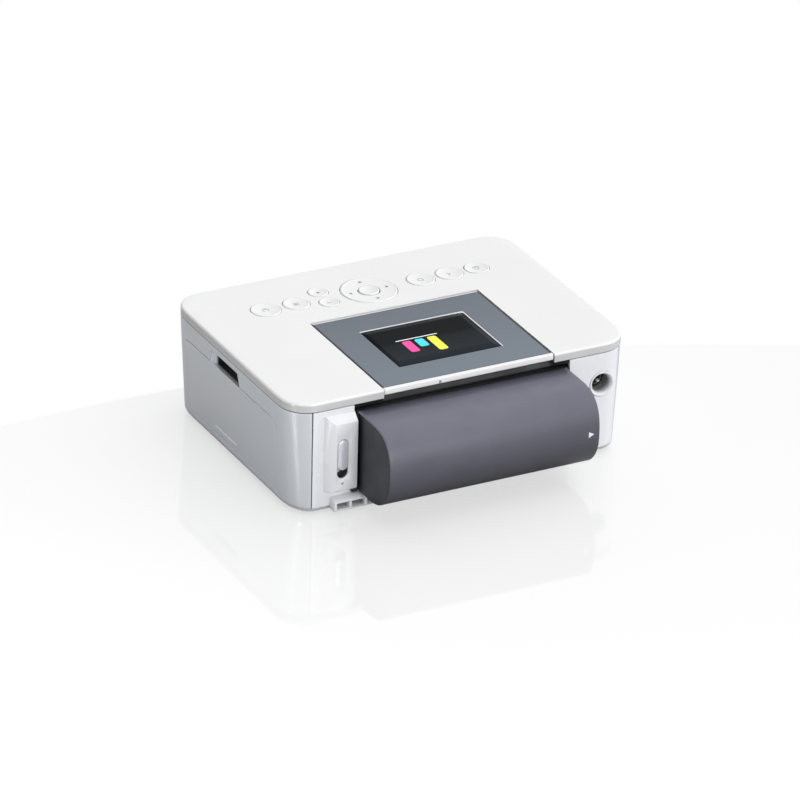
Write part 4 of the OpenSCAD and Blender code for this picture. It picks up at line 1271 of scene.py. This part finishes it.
def pack_outline(count=60, shrink=0.0):
    """The battery pack's D-shaped section in (y, z): a superellipse, fuller above than below, with a straight
    root."""
    a = PACK_CROWN - shrink
    b = (PACK_Z1 - PACK_Z0) / 2 - shrink
    crown = PACK_BACK - PACK_CROWN
    middle = (PACK_Z0 + PACK_Z1) / 2
    t = np.linspace(math.pi / 2, -math.pi / 2, count)
    power = np.where(t > 0, 2.8, 2.15)
    y = crown + a * np.abs(np.cos(t)) ** (2 / power)
    z = middle + b * np.sign(t) * np.abs(np.sin(t)) ** (2 / power)
    y[[0, -1]] = crown
    half_way = PACK_Y + (crown - PACK_Y) * 0.5
    return np.concatenate([[[PACK_Y, middle + b], [half_way, middle + b]], np.column_stack([y, z]),
                           [[half_way, middle - b], [PACK_Y, middle - b]]])


class PRINTER_OT_battery(bpy.types.Operator):
    """Battery pack: D-shaped shell, two end caps and the dark base with its hooks"""

    bl_idname = "printer.battery"
    bl_label = "Battery pack"

    def execute(self, context):
        """The shell is the section carried along the width; towards each end it shrinks by a quarter turn."""
        edge, lip = 0.55, 0.35
        turn = np.radians(np.linspace(0, 90, 6))
        ends, pulls = edge * (1 - np.sin(turn)), edge * (1 - np.cos(turn))
        between = np.linspace(PACK_X0 + 3, PACK_X1 - 3, 60)
        x = np.concatenate([PACK_X0 + lip + ends, between, PACK_X1 - lip - ends])
        pull = np.concatenate([pulls, np.zeros(60), pulls])
        order = np.argsort(x)
        sections = np.stack([pack_outline(shrink=p) for p in pull[order]])
        piece = make_piece("pack_shell", carry(x[order], sections), grid_faces(*sections.shape[:2]),
                           "battery", "battery_grey", replaces=["battery_shell"])
        outward(piece, seen_from=(0, PACK_BACK, 30))
        thicken(piece, PACK_WALL)
        self.end("pack_end_socket", PACK_X0, -1, "battery_cap_left")
        self.end("pack_end_latch", PACK_X1, 1, "battery_cap_right")
        finish_node("battery_base", "dark_plastic", 0.2)
        finish_node("battery_cells", "cell_wrap", 0.0)
        self.arrow()
        return {"FINISHED"}

    def end(self, name, x_end, side, node):
        """A slightly sunk end face: the section shrunk step by step towards its middle."""
        shrinks, depths = (0.5, 0.5, 0.62, 0.95, 1.6), (3.0, 0.75, 0.45, 0.3, 0.25)
        sections = np.stack([pack_outline(shrink=shrink) for shrink in shrinks])
        points = carry([x_end - side * depth for depth in depths], sections)
        outward(make_piece(name, points, capped_faces(*sections.shape[:2]), "battery", "battery_end",
                           replaces=[node]))

    def arrow(self):
        """A small white triangle on the shell, pointing at the latch's far side."""
        x0, x1, half = -51.3, -48.5, 1.5
        flat, faces = cut_sheet([[x1, -half], [x0, 0.0], [x1, half]], [], 0.6)
        placed = on_pack(flat[:, 0], flat[:, 1] + ARROW_LENGTH, 0.03)
        piece = make_piece("pack_arrow", placed, faces, "battery", "battery_grey", finish="mark_pale",
                           smooth=False)
        outward(piece, seen_from=(-50, PACK_BACK + 20, 15))
        thicken(piece, 0.05)


def on_pack(x, length, rise):
    """Points on the shell at x and at a length along the section from the upper root, lifted by rise."""
    section = pack_outline(240)
    lengths = np.concatenate([[0], np.cumsum(np.linalg.norm(np.diff(section, axis=0), axis=1))])
    slope = np.gradient(section, lengths, axis=0)
    normal = np.column_stack([-slope[:, 1], slope[:, 0]])
    y, z = (np.interp(length, lengths, lifted) for lifted in (section + rise * normal).T)
    return np.column_stack([x, y, z])


class PRINTER_OT_rear(bpy.types.Operator):
    """Rear fittings: battery bay, latch, paper slot and power socket"""

    bl_idname = "printer.rear"
    bl_label = "Rear fittings"

    def execute(self, context):
        finish_node("battery_bay", "dark_plastic", 0.2)
        finish_node("battery_terminals", "plated_metal", 0.0)
        finish_node("rear_paper_slot", "panel_pale", 0.12)
        finish_node("latch_housing", "panel_pale", 0.5)
        finish_node("latch_slider", "panel_silver", 0.4)
        self.latch_shade_liner()
        self.socket()
        return {"FINISHED"}

    def latch_shade_liner(self):
        """Dark sleeve of painted shade inside the latch's slot, just clear of the slider, and a small mark
        below it.
        """
        r, half = 2.74, 2.6
        low, high = LATCH_LOW[2] - LATCH_TRAVEL - 0.1 + half, LATCH_HIGH[2] + 0.1 - half
        loop = np.concatenate([arc(LATCH_X, high, r, 0, 180, 16), arc(LATCH_X, low, r, 180, 360, 16)])
        points = np.concatenate([np.insert(loop, 1, HALF_D + y, axis=1) for y in (-1.9, 3.6)])
        liner = make_piece("latch_shade_liner", points, grid_faces(2, len(loop), close_columns=True), ROOT,
                           "dark_plastic")
        thicken(away_from(liner, (LATCH_X, HALF_D + 1, (low + high) / 2), -1), 0.03)
        y, z0, z1 = HALF_D + 4.21, 15.0, 16.4
        mark = [[LATCH_X - 0.9, y, z1], [LATCH_X + 0.9, y, z1], [LATCH_X, y, z0]]
        mark = make_piece("latch_mark", mark, [(0, 1, 2)], ROOT, "panel_pale", finish="mark_grey",
                          smooth=False)
        thicken(outward(mark, seen_from=(LATCH_X, HALF_D + 60, z0)), 0.05)

    def socket(self):
        """Power socket: a pale rolled ring and sleeve round a black insulator with its pin."""
        ring = [[4.4, -7.5], [4.6, -1.6], [4.9, -0.6], [5.5, 0.15], [5.9, 0.4], [6.25, 0.3], [6.4, -0.1],
                [6.4, -3.2], [5.6, -3.4], [5.6, -9.0], [4.4, -9.0]]
        points, faces = revolve(ring, (JACK_X, HALF_D, JACK_Z), 64, "Y", closed=True)
        outward(make_piece("socket_ring", points, faces, ROOT, "socket_black", finish="socket_white",
                           replaces=["dc_socket"]))
        core = [[0.001, -13.6], [4.5, -13.6], [4.5, -7.2], [3.6, -6.9], [2.6, -7.0], [2.4, -7.4],
                [2.4, -12.6], [0.001, -12.6]]
        points, faces = revolve(core, (JACK_X, HALF_D, JACK_Z), 48, "Y")
        outward(make_piece("socket_core", points, faces, ROOT, "socket_black"))
        finish_node("dc_socket_pin", "plated_metal", 0.0)


class PRINTER_OT_inside(bpy.types.Operator):
    """Mechanism and boards inside the case"""

    bl_idname = "printer.inside"
    bl_label = "Inside"

    def execute(self, context):
        finishes = {
            "key_board": "board_green", "chassis": "bright_steel", "main_board": "board_green",
            "thermal_head": "bright_steel", "drive_motor": "bright_steel", "ink_cassette": "cassette_grey",
            "feed_roller": "bright_steel", "drive_gear": "gear_plastic", "motor_pinion": "gear_plastic",
            "pinch_roller": "roller_rubber", "platen_roller": "roller_rubber", "supply_spool": "ribbon_gold",
            "take_up_spool": "dark_plastic",
        }
        for node, finish in finishes.items():
            finish_node(node, finish, 0.0)
        return {"FINISHED"}


# ---- stage: floor, lights and camera ----

CAMERA_PLACE = (1.256436, 2.364258, 1.351377)       # metres from the middle of the body
CAMERA_RIGHT = (-0.88805152, 0.45915291, 0.02330457)
CAMERA_UP = (-0.18672648, -0.40654236, 0.89434699)
CAMERA_BACK = (0.42011631, 0.78987462, 0.44676657)
CAMERA_LENS = 284.457
CAMERA_SENSOR = 36.0
FLOOR_COLOUR = (0.8, 0.8, 0.805)
FLOOR_DROP = 5e-5                                   # metres below the feet
FLOOR_ROUGH, FLOOR_IOR = 0.04, 2.3                  # glossy enough to mirror the object faintly
FLOOR_BOUNCE = 0.6                                  # share of the floor's colour that lights the object
FLOOR_GLOW = 0.6                                    # share of white in what the camera sees of it
TABLE_CENTRE, TABLE_RADIUS = (112.5, 605.0, 0.0), 686.6   # the table's far edge, as an arc
TABLE_FADE = 1.5                                    # half the width over which it ends
SKY_FROM = (-0.75, 0.15, 0.65)                      # where the light mostly comes from
SKY_LEVEL, SKY_SLOPE = 0.3, 1.62                    # its level and how steeply it is graded
LAMP_AIM = (0.08, 0.05, 0.03)                       # the printer's rear corner, in metres
LAMPS = {                                           # place, size and power
    "rear_panel_light": ((0.0, 0.8, 0.2), (0.3, 0.5), 2.4),
    "corner_light": ((0.38, 0.13, 0.08), (0.06, 0.14), 0.24),
}


class PRINTER_OT_stage(bpy.types.Operator):
    """Pale glossy floor, white surroundings, soft lights and the camera"""

    bl_idname = "printer.stage"
    bl_label = "Stage"

    def execute(self, context):
        self.floor()
        self.world()
        self.lights()
        self.camera()
        return {"FINISHED"}

    def floor(self):
        """A round glossy table: rings of growing radius about the object. Past the table's far edge, an arc,
        its colour gives way to the surroundings' white. Light that it throws back on the object is dimmed."""
        radius = np.concatenate([[0.001], np.geomspace(0.05, 3.0, 30)])[:, None]
        a = np.arange(96) / 96 * 2 * math.pi
        points = np.stack([radius * np.cos(a), radius * np.sin(a), np.full((31, 96), -FLOOR_DROP)], -1)
        mesh = bpy.data.meshes.new("floor")
        mesh.from_pydata(points.reshape(-1, 3).tolist(), [], grid_faces(31, 96, close_columns=True).tolist())
        floor = bpy.data.objects.new("floor", mesh)
        bpy.context.scene.collection.objects.link(floor)
        material, tree, shader = new_material("floor_pale")
        shade = tint(tree, shader, FLOOR_COLOUR, 0.004, 3)
        to_camera = add_node(tree, "LightPath").outputs["Is Camera Ray"]
        feed(tree, shader, {
            "Base Color": scaled(tree, shade, map_span(tree, to_camera, (FLOOR_BOUNCE, 1.0))),
            "Roughness": FLOOR_ROUGH, "IOR": FLOOR_IOR,
        })
        # far edge
        centre = to_row([TABLE_CENTRE])[0]
        away = add_node(tree, "VectorMath", {0: object_place(tree), 1: centre}, operation="DISTANCE")
        fade = ((TABLE_RADIUS - TABLE_FADE) * MM, (TABLE_RADIUS + TABLE_FADE) * MM)
        edge = map_span(tree, away.outputs["Value"], (FLOOR_GLOW, 1.0), fade)
        seen = add_node(tree, "Math", {0: edge, 1: to_camera}, operation="MULTIPLY").outputs["Value"]
        glow = add_node(tree, "Emission").outputs["Emission"]
        mix = add_node(tree, "MixShader", {"Fac": seen, 1: shader.outputs["BSDF"], 2: glow})
        feed(tree, tree.nodes["Material Output"], {"Surface": mix.outputs["Shader"]})
        mesh.materials.append(material)

    def world(self):
        """White to the camera and in reflections. As light it is graded: bright from the socket's side and
        above, nearly dark from the ink door's side."""
        world = bpy.data.worlds.new("studio")
        bpy.context.scene.world = world
        world.use_nodes = True
        tree = world.node_tree
        place = add_node(tree, "TexCoord").outputs["Generated"]
        facing = add_node(tree, "VectorMath", {0: place, 1: SKY_FROM}, operation="DOT_PRODUCT")
        graded = map_span(tree, facing.outputs["Value"], (0.0, SKY_LEVEL + SKY_SLOPE),
                          (-SKY_LEVEL / SKY_SLOPE, 1.0))
        as_light = add_node(tree, "LightPath").outputs["Is Diffuse Ray"]
        mix = add_node(tree, "Mix", {"Factor": as_light, "A": 1.0, "B": graded})
        feed(tree, tree.nodes["Background"], {"Color": (1, 1, 1, 1), "Strength": mix.outputs["Result"]})

    def lights(self):
        """Soft upright panels behind the printer and off its rear corner, which both shine on that corner."""
        for name, (place, size, power) in LAMPS.items():
            light = bpy.data.lights.new(name, "AREA")
            light.shape = "RECTANGLE"
            light.size, light.size_y = size
            light.energy = power
            lamp = bpy.data.objects.new(name, light)
            lamp.location = place
            aim = Vector(LAMP_AIM) - Vector(place)
            lamp.rotation_euler = aim.to_track_quat("-Z", "Y").to_euler()
            bpy.context.scene.collection.objects.link(lamp)

    def camera(self):
        camera = bpy.data.cameras.new("camera")
        camera.sensor_width = CAMERA_SENSOR
        camera.lens = CAMERA_LENS
        camera.clip_end = 30
        viewer = bpy.data.objects.new("camera", camera)
        basis = Matrix((CAMERA_RIGHT, CAMERA_UP, CAMERA_BACK)).transposed().to_4x4()
        place = Vector(CAMERA_PLACE) + Vector((0, BODY_Y * MM, 0))
        viewer.matrix_world = Matrix.Translation(place) @ basis
        bpy.context.scene.collection.objects.link(viewer)
        bpy.context.scene.camera = viewer


class PRINTER_PT_panel(bpy.types.Panel):
    """Lists the printer's pieces and their settings"""

    bl_label = "Printer"
    bl_idname = "PRINTER_PT_panel"
    bl_space_type = "VIEW_3D"
    bl_region_type = "UI"
    bl_category = "Printer"

    def draw(self, context):
        layout = self.layout
        for group in (context.scene.printer_sizes, context.scene.printer_colours):
            for name in group.__annotations__:
                layout.prop(group, name)
        for operator in OPERATORS:
            layout.operator(operator.bl_idname)


OPERATORS = (
    PRINTER_OT_cover, PRINTER_OT_sides, PRINTER_OT_base, PRINTER_OT_door, PRINTER_OT_front, PRINTER_OT_keys,
    PRINTER_OT_screen, PRINTER_OT_battery, PRINTER_OT_rear, PRINTER_OT_inside, PRINTER_OT_stage,
)
CLASSES = (PrinterSizes, PrinterColours, *OPERATORS, PRINTER_PT_panel)


def register():
    for item in CLASSES:
        bpy.utils.register_class(item)
    bpy.types.Scene.printer_sizes = bpy.props.PointerProperty(type=PrinterSizes)
    bpy.types.Scene.printer_colours = bpy.props.PointerProperty(type=PrinterColours)


def unregister():
    del bpy.types.Scene.printer_colours
    del bpy.types.Scene.printer_sizes
    for item in reversed(CLASSES):
        bpy.utils.unregister_class(item)


def main():
    register()
    make_finishes()
    for operator in OPERATORS:
        group, name = operator.bl_idname.split(".")
        getattr(getattr(bpy.ops, group), name)()
    bpy.context.scene.view_settings.view_transform = "Standard"
    bpy.context.view_layer.update()


if __name__ == "__main__":
    main()
